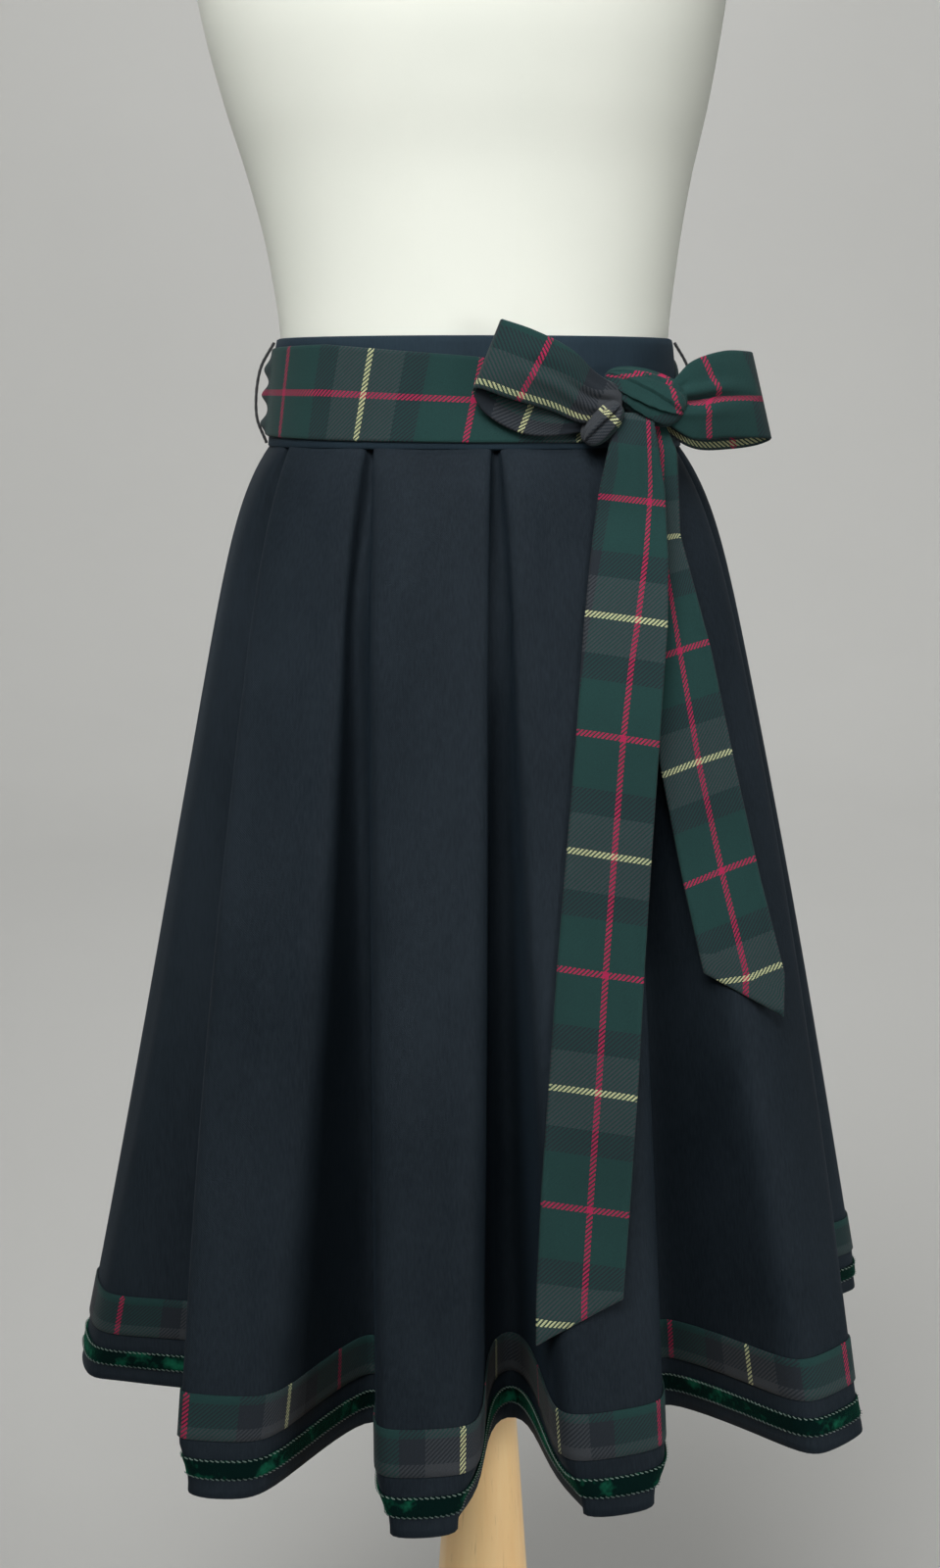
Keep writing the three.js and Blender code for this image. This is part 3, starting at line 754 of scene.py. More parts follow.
@dataclass(frozen=True)
class Pleat:
    """A pleat's face, which stands out, and the tuck after it.

    Args:
        face: The face's angle at the hem.
        reach: Its distance from the axis there.
        facing: The way that it faces.
        half: Half of its width.
        lift: How far its hem is over the lowest.
        swell: How far it swells out at half height.
        spread: How far it spreads to each side there.
        waist: The tuck's angle at the seam.
        tuck: Its angle at the hem.
        inner: Its distance from the axis there.
        slack: Half of its width there.
    """

    face: float
    reach: float
    facing: float
    half: float
    lift: float
    swell: float
    spread: float
    waist: float
    tuck: float
    inner: float
    slack: float


PLEATS = (
    Pleat(-90, 265, -75, 31, 12, 2, 0, -62.4, -66, 135, 14),
    Pleat(-43, 236, -4, 29, 4, 3, 9, -29, -43, 88, 12),
    Pleat(-8, 214, 6, 31, 0, 0, 2, 5.5, 23, 56, 14),
    Pleat(25.6, 205, 19, 34, 0, 0, 4, 40, 68, 128, 12),
    Pleat(64, 259, 44, 29, 10, 10, 8, 74, 90, 150, 14),
    Pleat(112, 292, 104, 36, 30, 8, 2, 110, 131, 140, 14),
    Pleat(147, 262, 150, 33, 25, 3, 3, 148, 161, 120, 13),
    Pleat(176, 250, 176, 32, 22, 2, 4, 186, 191, 112, 14),
    Pleat(206, 252, 204, 32, 20, 4, 3, 224, 221, 122, 13),
    Pleat(237, 260, 242, 33, 16, 2, 2, 262, 250, 140, 14),
)

# Long soft folds on the faces and sides of the pleats, and the curled corners of the hem. A place counts
# eight steps a pleat: 0 to 3 is its face, 4 its near side, 5.5 the tuck's bottom and 7 the next pleat's side.
SKIRT_CREASES = creases(
    (1.2, 0.3, 0.02, 0.50, 1.3, 0.55, 0.3), (2.2, -0.4, 0.35, 0.95, 1.6, 0.6),
    (8.9, 0.2, 0.03, 0.42, 1.0, 0.5, 0.35), (10.1, -0.3, 0.40, 0.98, 1.5, 0.55),
    (10.9, 0.1, 0.02, 0.25, 0.9, 0.4), (16.6, 0.2, 0.03, 0.35, 0.9, 0.5),
    (17.6, 0.3, 0.25, 0.98, 1.3, 0.6, 0.6), (18.5, -0.2, 0.02, 0.22, 1.0, 0.4),
    (24.9, 0.2, 0.04, 0.45, 1.1, 0.5, 0.4), (26.2, -0.2, 0.35, 0.95, 1.2, 0.5),
    (33.2, 0.3, 0.02, 0.55, 1.4, 0.5, 0.4), (34.3, -0.3, 0.30, 0.98, 1.7, 0.6),
    (41.0, 0.2, 0.05, 0.55, 1.2, 0.5), (42.3, 0.1, 0.35, 0.95, 1.5, 0.6), (48.8, 0.3, 0.03, 0.45, 1.1, 0.5),
    (50.2, -0.3, 0.30, 0.98, 1.4, 0.6), (57.3, 0.2, 0.05, 0.60, 1.3, 0.5),
    (58.5, -0.1, 0.40, 0.95, 1.1, 0.5), (64.9, 0.3, 0.03, 0.40, 1.2, 0.5),
    (66.2, -0.3, 0.35, 0.98, 1.6, 0.6), (73.1, 0.2, 0.04, 0.50, 1.1, 0.5),
    (74.4, -0.3, 0.30, 0.95, 1.3, 0.5),
) + curls(
    (3.2, 0.045, 4.0, 0.7), (8.2, 0.055, 13.0, 0.8), (15.9, 0.05, 9.0, 0.7), (19.1, 0.06, 11.0, 0.7),
    (23.9, 0.055, 11.0, 0.8), (27.1, 0.04, 9.0, 0.6), (35.2, 0.04, -5.0, 0.6), (40.0, 0.05, 6.0, 0.7),
    (43.1, 0.045, 8.0, 0.7), (51.0, 0.055, 7.0, 0.7), (56.0, 0.04, 8.0, 0.6), (59.0, 0.05, 5.0, 0.7),
    (67.1, 0.06, 9.0, 0.7), (72.0, 0.045, 7.0, 0.6),
)


@dataclass(frozen=True)
class FoldPlan:
    """The plan of the pleats at every level, and the cloth that follows it.

    Args:
        hip_oval: Half of the width and depth of the tucks' bottoms over the hips, in millimetres.
        tuck_depth: How deep a tuck is at the seam.
        tuck_half: Half of its width there.
        tuck_mouth: Half of the width of its mouth there.
        hip_slack: A tuck's width over the hips as a share of that at the hem.
        hip_level: Where on the drop the hips are, from 0 to 1.
        tuck_release: Where the tucks start to fall free.
        hip_spring: How much more than straight the faces spring out below the seam.
        hip_spring_end: In how much of the drop they do.
        face_bow: How much a face is bowed at the hem, in millimetres.
        side_ease: Where the side of a pleat is steered, from its corner (0) to the tuck's bottom (1).
        steps: How many columns of cloth there are to each steering point.
    """

    hip_oval: tuple[float, float] = (139.0, 111.5)
    tuck_depth: float = 6.0
    tuck_half: float = 2.0
    tuck_mouth: float = 3.0
    hip_slack: float = 0.5
    hip_level: float = 0.18
    tuck_release: float = 0.22
    hip_spring: float = 0.13
    hip_spring_end: float = 0.06
    face_bow: float = 8.0
    side_ease: float = 0.36
    steps: int = 5

    POINTS = 8
    TUCK_MIDDLE = 5.5
    PERIOD = POINTS * len(PLEATS)

    def tuck_point(self, row: Pleat, side: int, level: float) -> np.ndarray:
        """Gives one side of a tuck's bottom.

        Args:
            row: The pleat that the tuck comes after.
            side: -1 for the side nearer to that pleat and 1 for the other.
            level: The share of the drop.

        Returns:
            The place in plan.
        """
        along = along_cloth(row.waist)
        seam = (oval_point(*SEAM_OVAL, row.waist) + polar_point(row.waist, -1) * self.tuck_depth
                + along * side * self.tuck_half)
        hip = oval_point(*self.hip_oval, row.waist) + along * side * row.slack * self.hip_slack
        hem = polar_point(row.tuck, row.inner) + along_cloth(row.tuck) * side * row.slack
        over_hips = seam + (hip - seam) * smooth(level / self.hip_level)
        fall = max(0.0, (level - self.tuck_release) / (1 - self.tuck_release))
        return over_hips + (hem - over_hips) * fall

    def face_point(self, before: Pleat, row: Pleat, across: float, level: float) -> np.ndarray:
        """Gives a place on a pleat's face.

        Args:
            before: The pleat before it.
            row: The pleat.
            across: The place across the face, from -1 to 1.
            level: The share of the drop.

        Returns:
            The place in plan.
        """
        start = before.waist - 360 if before.waist > row.waist else before.waist
        middle = (start + row.waist) / 2
        edge = start if across < 0 else row.waist
        if abs(across) == 1:
            seam = oval_point(*SEAM_OVAL, edge) - along_cloth(edge) * across * self.tuck_mouth
        else:
            seam = oval_point(*SEAM_OVAL, middle + (edge - middle) * abs(across))
        centre = polar_point(row.face, row.reach - self.face_bow * across * across)
        hem = centre + along_cloth(row.facing) * across * row.half
        spring = self.hip_spring * (1 - math.exp(-level / self.hip_spring_end)) * (1 - level) ** 2
        middle_swell = math.sin(math.pi * level)
        place = seam + (hem - seam) * (level + spring) + polar_point(row.face, 1) * row.swell * middle_swell
        return place + along_cloth(row.facing) * across * row.spread * middle_swell

    def control(self, level: float) -> np.ndarray:
        """Gives the points that steer the plan.

        Args:
            level: The share of the drop.

        Returns:
            Each point's place in plan and how far its hem is lifted.
        """
        plan = []
        for index, row in enumerate(PLEATS):
            before = PLEATS[index - 1]
            after = PLEATS[(index + 1) % len(PLEATS)]
            corners = [self.face_point(before, row, across, level) for across in (-1, -0.5, 0.5, 1)]
            next_corner = self.face_point(row, after, -1, level)
            tuck = [self.tuck_point(row, side, level) for side in (-1, 1)]
            near = corners[3] + (tuck[0] - corners[3]) * self.side_ease
            far = next_corner + (tuck[1] - next_corner) * self.side_ease
            halfway = (row.lift + after.lift) / 2
            lifts = [row.lift] * 5 + [halfway, halfway, after.lift]
            plan += [[*point, lift] for point, lift in zip([*corners, near, *tuck, far], lifts)]
        return np.array(plan)

    def surface(self, places: np.ndarray, levels: np.ndarray, creased: bool = True
                ) -> tuple[np.ndarray, np.ndarray]:
        """Gives the outside of the cloth.

        Args:
            places: Places round the plan, eight steps a pleat.
            levels: Shares of the drop from the seam to the hem.
            creased: Whether the soft folds are pressed in.

        Returns:
            The points, and the outward direction in plan at each.
        """
        stretch = np.floor(places).astype(int)
        f = (places - stretch)[:, None]
        near = [(stretch + step) % self.PERIOD for step in (-1, 0, 1, 2)]
        weights = [(1 - f) ** 3, 3 * f ** 3 - 6 * f ** 2 + 4, -3 * f ** 3 + 3 * f ** 2 + 3 * f + 1, f ** 3]
        slopes = [-3 * (1 - f) ** 2, 9 * f ** 2 - 12 * f, -9 * f ** 2 + 6 * f + 3, 3 * f ** 2]
        points, facing = [], []
        for level in levels:
            control = self.control(float(level))
            value = sum(control[index] * weight for index, weight in zip(near, weights)) / 6
            slope = sum(control[index] * weight for index, weight in zip(near, slopes)) / 6
            along = unit(slope[:, :2])
            outward = np.stack([along[:, 1], -along[:, 0], np.zeros(len(places))], axis=-1)
            drop = DROP - value[:, 2]
            height = SEAM - GAP / 2 - (drop - GAP / 2) * level
            points.append(np.column_stack([value[:, :2], height]))
            facing.append(outward)
        points, facing = np.array(points), np.array(facing)
        if creased:
            across, down = np.meshgrid(places, levels)
            push = sum(crease.push(across, down, self.PERIOD) for crease in SKIRT_CREASES)
            points = points - facing * push[..., None]
        return points, facing

    def places(self, first: int = 0, count: int = len(PLEATS)) -> np.ndarray:
        """Gives the places from the tuck before one pleat to the tuck after some pleats."""
        start = first * self.POINTS - self.POINTS + self.TUCK_MIDDLE
        return np.linspace(start, start + count * self.POINTS, count * self.POINTS * self.steps + 1)

    def cloth(self, places: np.ndarray, levels: np.ndarray, joined: bool) -> Cloth:
        """Gives the cloth over some places and levels.

        Args:
            places: Places round the plan, as in surface.
            levels: Shares of the drop.
            joined: Whether it goes all round the figure.

        Returns:
            The cloth, with its own run at the hem and its drop as the flat place.
        """
        points, facing = self.surface(places, levels)
        hem_line, _ = self.surface(places, np.array([1.0]), creased=False)
        flat = np.stack(np.broadcast_arrays(run_along(hem_line), DROP * levels[:, None]), axis=-1)
        if joined:
            points, facing = points[:, :-1], facing[:, :-1]
        return Cloth(points, facing, flat, joined)


@dataclass(frozen=True)
class Skirt:
    """The three pleated panels: the node, the first pleat and the number of pleats of each."""

    panels: tuple[tuple[str, int, int], ...] = (("skirt_front", 0, 5), ("skirt_back_right", 5, 3),
                                                ("skirt_back_left", 8, 2))
    plan: FoldPlan = FoldPlan()

    LEVELS = 92
    CLOSER = 0.045

    def levels(self) -> np.ndarray:
        """Gives the rows of the cloth, closer together near the seam and the hem."""
        even = np.linspace(0, 1, self.LEVELS)
        return even - self.CLOSER * np.sin(FULL_TURN * even)

    def build(self) -> list[bpy.types.Object]:
        """Builds the panels.

        Returns:
            The pieces.
        """
        pieces = []
        for node, first, count in self.panels:
            cloth = self.plan.cloth(self.plan.places(first, count), self.levels(), joined=False)
            piece = cloth.shell(node + "_cloth", CLOTH)
            dress(piece, Finish.SKIRT, node)
            pieces.append(piece)
        return pieces


@dataclass(frozen=True)
class HemTrims:
    """The checked border and the velvet ribbon with its looped edges.

    Args:
        ribbon: The heights of the ribbon's edges over the hem, in millimetres.
        border: The same for the border.
        matching: Where along the border's cloth its check starts, in millimetres, at some places round the
            plan. It is eased on, so this drifts a little from tuck to tuck.
        top_in_check: Where across the check the border's top lies.
        pitch: From one thread loop to the next.
        long: How long a thread loop is.
        thick: How thick its thread is.
        slim: How much of that is left at its ends.
        slant: How far it leads along the edge and up.
        clear: How far it stands off the ribbon, at its ends and how much more in its middle.
        plan: The plan of the pleats.
    """

    ribbon: tuple[float, float] = (12.0, 23.0)
    border: tuple[float, float] = (35.0, 61.6)
    matching: tuple[tuple[float, float], ...] = (
        (-3, 64), (4, 64), (7.5, 47), (12.5, 45), (15.5, 73), (20.5, 73), (22.5, 94), (30.5, 92),
        (35.5, 110), (38, 110), (46, 96), (54, 118), (62, 90), (70, 104), (78, 80))
    top_in_check: float = 26.0
    pitch: float = 3.2
    long: float = 2.6
    thick: float = 0.36
    slim: float = 0.45
    slant: tuple[float, float] = (0.9, 0.42)
    clear: tuple[float, float] = (0.15, 0.45)
    plan: FoldPlan = FoldPlan()

    BORDER_ROWS = 8
    RIBBON_ROWS = 7
    RINGS = 6
    SIDES = 5

    def trim(self, node: str, edges: tuple[float, float], rows: int, finish: Finish) -> bpy.types.Object:
        """Makes a strip of cloth round the skirt.

        Args:
            node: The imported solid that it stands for.
            edges: The heights of its edges over the hem.
            rows: How many rows its mesh has.
            finish: Its finish.

        Returns:
            The piece.
        """
        low, high = edges
        places = self.plan.places()
        cloth = self.plan.cloth(places, np.linspace(1 - high / DROP, 1 - low / DROP, rows), joined=True)
        cloth.flat[..., 0] -= np.interp(places, *np.transpose(self.matching))
        cloth.flat[..., 1] += self.top_in_check - cloth.flat[0, 0, 1]
        piece = cloth.shell(node + "_cloth", TRIM_CLOTH, GAP + TRIM_CLOTH)
        dress(piece, finish, node)
        return piece

    def build(self) -> list[bpy.types.Object]:
        """Builds the trims.

        Returns:
            The pieces.
        """
        low, high = self.ribbon
        return [self.trim("hem_check_border", self.border, self.BORDER_ROWS, Finish.CHECK),
                self.trim("hem_velvet_ribbon", self.ribbon, self.RIBBON_ROWS, Finish.VELVET),
                # The upper row's thread is painted lighter with sheen, and the lower row's darker with shade
                self.picots("hem_picots_upper", high, Finish.PICOT),
                self.picots("hem_picots_lower", low, Finish.LOW_PICOT_PAINTED_SHADE)]

    def picots(self, name: str, up: float, finish: Finish) -> bpy.types.Object:
        """Makes the row of small slanting thread loops along one edge of the ribbon.

        Args:
            name: The piece's name.
            up: The edge's height over the hem.
            finish: The thread.

        Returns:
            The piece.
        """
        line, facing = self.plan.surface(self.plan.places(), np.array([1 - up / DROP]))
        run = run_along(line)[0]
        count = int(run[-1] / self.pitch)
        spots = (np.arange(count) + 0.5) * run[-1] / count
        centre, outward = [np.column_stack([np.interp(spots, run, grid[0, :, axis]) for axis in range(3)])
                           for grid in (line, facing)]
        outward = unit(outward)
        lean = unit(-unit(np.cross(UP, outward)) * self.slant[0] + UP * self.slant[1])
        side = unit(np.cross(outward, lean))[:, None, None]
        turn = np.linspace(0, math.pi, self.RINGS)[:, None]
        around = np.linspace(0, FULL_TURN, self.SIDES + 1)[:-1, None]
        out = GAP + TRIM_CLOTH + self.clear[0] + np.sin(turn) * self.clear[1]
        spine = centre[:, None] + outward[:, None] * out - np.cos(turn) * self.long / 2 * lean[:, None]
        circle = np.cos(around) * side + np.sin(around) * outward[:, None, None]
        size = self.thick * (self.slim + (1 - self.slim) * np.sin(turn))[:, None]
        points = spine[:, :, None] + circle * size
        index = np.arange(points[..., 0].size).reshape(points.shape[:3])
        a, b = index[:, :-1], index[:, 1:]
        faces = np.stack([a, np.roll(a, -1, axis=2), np.roll(b, -1, axis=2), b], axis=-1)
        return dress(new_piece(name, points, faces), finish)


def band_oval(height: np.ndarray | float) -> tuple[np.ndarray, np.ndarray]:
    """Gives the half width and half depth of the band at a height."""
    share = (np.asarray(height) - SEAM) / BAND
    return tuple(seam + (top - seam) * share for seam, top in zip(SEAM_OVAL, TOP_OVAL))


@dataclass(frozen=True)
class Waistband:
    """The high stiff band, whose top edge is rolled in.

    Args:
        roll: How far the edge is rolled in, in millimetres.
        roll_long: How far down the roll reaches.
    """

    roll: float = 0.5
    roll_long: float = 2.5

    COLUMNS = 180
    ROWS = 18

    def build(self) -> bpy.types.Object:
        """Builds the band.

        Returns:
            The piece.
        """
        heights = np.linspace(BAND_TOP, SEAM + GAP / 2, self.ROWS)
        across, down = np.meshgrid(np.linspace(0, 360, self.COLUMNS + 1), heights)
        wide, deep = band_oval(down)
        roll = self.roll * np.exp(-((BAND_TOP - down) / self.roll_long) ** 2)
        points = round_grid(wide - roll, deep - roll, across, down)
        flat = np.stack([run_along(points), BAND_TOP - down], axis=-1)
        body = points[:, :-1]
        piece = Cloth(body, grid_facing(body, True), flat, True).shell("waistband_cloth", BAND_CLOTH)
        dress(piece, Finish.BAND, "waistband")
        return piece


# The sash round the waist: the heights of its edges at some angles
SASH_ROUND = np.array([
    [-180, 1059, 1110],
    [-90, 1059, 1110],
    [-45, 1057, 1111.5],
    [0, 1056, 1104],
    [30, 1056, 1094],
    [40, 1056, 1084],
    [66, 1056, 1085],
    [80, 1057, 1092],
    [95, 1059, 1104],
    [115, 1059, 1110],
    [180, 1059, 1110],
])

SASH_CREASES = creases(
    (0.62, -0.20, 0.49, 0.64, -1.6, 0.10, 0.7), (0.35, 0.20, 0.47, 0.64, 1.8, 0.09, 0.7),
    (0.80, -0.35, 0.52, 0.65, 1.6, 0.08, 0.7), (0.15, 0.20, 0.53, 0.65, -1.5, 0.08, 0.7),
    (0.30, 0.10, 0.63, 0.74, 1.5, 0.09, 0.4), (0.70, -0.10, 0.64, 0.75, -1.5, 0.10, 0.4),
    (0.22, 0.02, 0.215, 0.285, -4.2, 0.10), (0.52, 0.02, 0.215, 0.285, -4.6, 0.09),
    (0.86, 0.02, 0.215, 0.285, -4.2, 0.08), (0.25, 0.02, 0.715, 0.785, -3.6, 0.10),
    (0.60, 0.02, 0.715, 0.785, -4.4, 0.10), (0.40, 0.10, 0.02, 0.20, -0.9, 0.14),
    (0.70, -0.10, 0.80, 0.97, -0.9, 0.14), (0.45, 0.05, 0.30, 0.44, -0.6, 0.16),
)


@dataclass(frozen=True)
class SashBelt:
    """The sash round the waist, drawn together towards the knot.

    Args:
        red_at: The angle at which a red line crosses its middle, in degrees.
        lean: How far its cross lines lean over half of its width, in millimetres.
        pulled: How much more they lean where the knot pulls them.
        pull_grows: Where the pull starts and is full, from 0 at the back by -X and the front round to 1.
        pull_ends: Where it starts to end and has ended.
    """

    red_at: float = -0.3
    lean: float = 1.5
    pulled: float = 3.5
    pull_grows: tuple[float, float] = (0.25, 0.52)
    pull_ends: tuple[float, float] = (0.59, 0.62)

    COLUMNS = 360
    ROWS = 32

    def build(self) -> bpy.types.Object:
        """Builds the belt.

        Returns:
            The piece.
        """
        angles = np.linspace(-180, 180, self.COLUMNS + 1)
        across, down = np.meshgrid(np.linspace(0, 1, self.COLUMNS + 1), np.linspace(0, 1, self.ROWS + 1))
        low, high = [np.interp(angles, SASH_ROUND[:, 0], edge) for edge in SASH_ROUND.T[1:]]
        height = low + (high - low) * (1 - down)
        push = sum(crease.push(down, across) for crease in SASH_CREASES)
        out = GAP + SASH_CLOTH + np.maximum(-push, 0.0)
        wide, deep = band_oval(height)
        points = round_grid(wide + out, deep + out, angles, height)
        run = run_along(points[self.ROWS // 2][None])[0]
        (start, full), (ending, ended) = self.pull_grows, self.pull_ends
        pull = smooth((across - start) / (full - start)) * smooth((ended - across) / (ended - ending))
        slant = (self.lean + self.pulled * pull) * (1 - 2 * down)
        from_red = run - np.interp(self.red_at, angles, run)
        flat = np.stack([from_red - slant, (down - 0.5) * SASH_WIDE], axis=-1)
        body = points[:, :-1]
        piece = Cloth(body, grid_facing(body, True), flat, True).shell("sash_belt_cloth", SASH_CLOTH)
        dress(piece, Finish.CHECK, "sash_belt")
        return piece


@dataclass(frozen=True)
class BowLoop:
    """One loop of the bow, out from the knot, round its tip and back behind.

    Args:
        node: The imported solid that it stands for.
        sections: Upper X, upper Z, lower X, lower Z, Y and bulge of each section, from the knot out,
            round the tip and back behind.
        front: Where on the check the front layer starts along, and its lower edge across.
        behind: The same for the layer behind.
        lean: How far the front layer's check lies further along at places from its upper edge (0) to its
            lower one (1).
        creases: Its folds, across from its upper edge and along from the knot.
    """

    node: str
    sections: tuple[tuple[float, float, float, float, float, float], ...]
    front: tuple[float, float]
    behind: tuple[float, float]
    lean: tuple[tuple[float, float], ...]
    creases: tuple[Crease, ...]

    # How much of its widest width the check keeps where the loop is drawn together
    KEPT_WIDE = 0.35
    ROWS = 30
    STEPS = 132

    def build(self) -> bpy.types.Object:
        """Builds the loop.

        Returns:
            The piece.
        """
        table = np.array(self.sections, dtype=float)
        shares = np.linspace(0, 1, self.STEPS + 1)
        upper = curve_through(table[:, [0, 4, 1]], shares)
        lower = curve_through(table[:, [2, 4, 3]], shares)
        bulge = np.interp(shares, np.linspace(0, 1, len(table)), table[:, 5])
        down = np.linspace(0, 1, self.ROWS + 1)[:, None]
        points = upper[None] + (lower - upper)[None] * down[..., None]
        points[..., 1] -= bulge * 4 * down * (1 - down)
        along, across = np.meshgrid(shares, down[:, 0])
        push = sum(crease.push(across, along) for crease in self.creases)
        points = points - grid_facing(points) * push[..., None]
        facing = grid_facing(points)
        run = run_along(points[self.ROWS // 2][None])[0]
        wide = np.linalg.norm(np.diff(points, axis=0), axis=-1).sum(axis=0)
        check_wide = self.KEPT_WIDE * wide.max() + (1 - self.KEPT_WIDE) * wide
        behind = shares > 0.5
        start = np.where(behind, self.behind[0], self.front[0] + np.interp(down, *np.transpose(self.lean)))
        edge = np.where(behind, self.behind[1], self.front[1])
        flat = np.stack([run + start, (down - 1) * check_wide + edge], axis=-1)
        piece = Cloth(points + facing * SASH_CLOTH / 2, facing, flat).shell(self.node + "_cloth", SASH_CLOTH)
        dress(piece, Finish.CHECK, self.node)
        return piece


LEFT_LOOP = BowLoop(
    "bow_loop_left",
    (
        (86, 1086, 84, 1071, -95, 1),
        (71, 1094, 64, 1067, -101, 3),
        (55, 1108, 43, 1074.5, -109, 5),
        (33.5, 1118.5, 20.5, 1081, -116, 5),
        (17, 1124, 1.5, 1087, -115.5, 3),
        (15.5, 1124.5, -0.5, 1085, -111.5, 0),
        (19, 1121, 4, 1075, -108, -1),
        (34, 1106, 19, 1064.5, -106.5, -1),
        (51, 1092, 35, 1060, -104, -1),
        (67, 1079, 62.5, 1062, -95.5, 1),
        (84, 1077, 84, 1067, -86, 0),
    ),
    (-59.0, 71.0),
    (68.0, 40.0),
    ((0.0, 2.0), (1.0, -4.0)),
    creases(
        (0.30, 0.10, 0.00, 0.26, 1.8, 0.10, 0.4), (0.62, 0.05, 0.00, 0.22, 1.6, 0.09, 0.4),
        (0.46, 0.02, 0.00, 0.24, -1.2, 0.09, 0.4), (0.18, 0.15, 0.10, 0.38, 1.6, 0.12),
        (0.66, -0.10, 0.06, 0.36, 1.8, 0.10), (0.40, 0.10, 0.74, 1.00, -1.4, 0.10),
        (0.70, 0.05, 0.70, 1.00, -1.2, 0.10),
    ),
)
RIGHT_LOOP = BowLoop(
    "bow_loop_right",
    (
        (102, 1086, 102, 1074, -92, 1),
        (114, 1090, 112, 1067, -92, 2),
        (126, 1101, 127.5, 1058, -87, 4),
        (146, 1107.5, 149.5, 1058.5, -77, 5),
        (161, 1107.5, 172, 1058, -67, 3),
        (164, 1107, 176.5, 1057, -60.5, 0),
        (159, 1106, 170, 1054, -57, -3),
        (146, 1103, 153, 1051.5, -61, -4),
        (131, 1094, 130, 1052, -70, -3),
        (115, 1086, 111, 1063, -80, -1),
        (102, 1084, 102, 1073, -83, 0),
    ),
    (-36.0, 24.0),
    (30.0, 69.5),
    ((0.0, 3.5), (0.5, -7.5), (0.58, 2.0), (1.0, 1.0)),
    creases(
        (0.30, -0.05, 0.00, 0.25, 1.8, 0.10, 0.4), (0.60, -0.02, 0.00, 0.28, 1.7, 0.09, 0.4),
        (0.46, -0.04, 0.00, 0.24, -1.3, 0.09, 0.4), (0.44, 0.12, 0.02, 0.46, 5.0, 0.055, 0.4),
        (0.34, 0.10, 0.04, 0.42, -2.0, 0.07, 0.4), (0.62, 0.10, 0.04, 0.40, -1.8, 0.07, 0.4),
        (0.25, 0.05, 0.15, 0.40, 1.2, 0.12), (0.45, 0.05, 0.72, 1.00, -1.4, 0.10),
    ),
)


@dataclass(frozen=True)
class KnotTurn:
    """A turn of the sash pulled tight round the knot.

    Args:
        node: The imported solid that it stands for.
        centre: Its middle.
        along: Half of its length along the turn.
        through: Half of its thickness.
        across: Half of its width.
        tilt: How far it slopes down to the right, in degrees.
        taper: How much narrower its first end is, from 0 to 1.
        start: Where on the check the middle of its front lies, along and across.
        laps: Where one layer lies over the next: round it from 0 to 1, and how far that moves along it.
    """

    node: str
    centre: tuple[float, float, float]
    along: float
    through: float
    across: float
    tilt: float
    taper: float
    start: tuple[float, float]
    bias: float
    laps: tuple[tuple[float, float], ...]

    # The power that fills its form out, how high a lap is, the power with which laps fade at the ends, the
    # radius inside which they get shallower, where round it its front is, and how far in radians its first
    # and last rows lie from its ends
    FULLNESS = 0.85
    LAP = 3.4
    LAP_FADE = 0.7
    CORE = 4.0
    FRONT_AT = 0.75
    TIP = 0.02
    ROWS = 63
    COLUMNS = 144

    def rounded(self, value: np.ndarray) -> np.ndarray:
        """Fills the rounded form out a little."""
        return np.sign(value) * np.abs(value) ** self.FULLNESS

    def lapped(self, share: np.ndarray, along: np.ndarray) -> np.ndarray:
        """Gives how far each layer sinks before the next one lies over it.

        Args:
            share: Places round the turn, from 0 to 1.
            along: Places along it, from 0 to 1.

        Returns:
            The depth at each place, in millimetres.
        """
        depth, before = np.zeros_like(along), np.full_like(along, 0.5)
        for place, drift in self.laps:
            line = place + drift * (along - 0.5)
            inside = (share >= before) & (share < line)
            depth = np.where(inside, self.LAP * (share - before) / (line - before), depth)
            before = line
        return depth

    def build(self) -> bpy.types.Object:
        """Builds the turn.

        Returns:
            The piece.
        """
        polar = np.linspace(self.TIP, math.pi - self.TIP, self.ROWS + 1)[:, None]
        share = np.linspace(0, 1, self.COLUMNS + 1)[None]
        turn = FULL_TURN * share
        u = self.rounded(np.cos(polar)) * self.along * np.ones_like(turn)
        v = self.rounded(np.sin(polar) * np.cos(turn)) * self.across
        w = self.rounded(np.sin(polar) * np.sin(turn)) * self.through
        along = (1 + np.cos(polar)) / 2 * np.ones_like(turn)
        depth = self.lapped(share, along) * np.sin(polar) ** self.LAP_FADE
        keep = (1 - depth / np.maximum(np.sqrt(v ** 2 + w ** 2), self.CORE)) * (1 - self.taper * (1 - along))
        v, w = v * keep, w * keep
        tilt, bias = math.radians(self.tilt), math.radians(self.bias)
        points = np.stack([u * math.cos(tilt) + v * math.sin(tilt), w,
                           v * math.cos(tilt) - u * math.sin(tilt)], axis=-1) + self.centre
        around = run_along(points[(self.ROWS + 1) // 2][None])[0]
        up = around - self.FRONT_AT * around[-1]
        flat = np.stack([u * math.cos(bias) - up * math.sin(bias),
                         u * math.sin(bias) + up * math.cos(bias)], axis=-1) + self.start
        return dress(solid(self.node + "_cloth", points, flat), Finish.CHECK, self.node)


KNOT = KnotTurn("bow_knot", (99, -91, 1083.5), 25.5, 13, 18, 25, 0.45, (13.5, -15.8), 54,
                ((0.60, -0.06), (0.69, 0.05), (0.78, -0.06), (0.90, 0.07), (1.00, 0.0)))
UNDER_TURN = KnotTurn("bow_under_turn", (74, -99, 1066.5), 15, 9, 9, -48, 0.0, (61.0, 45.0), 0,
                      ((0.62, 0.05), (0.76, -0.06), (0.90, 0.04), (1.00, 0.0)))


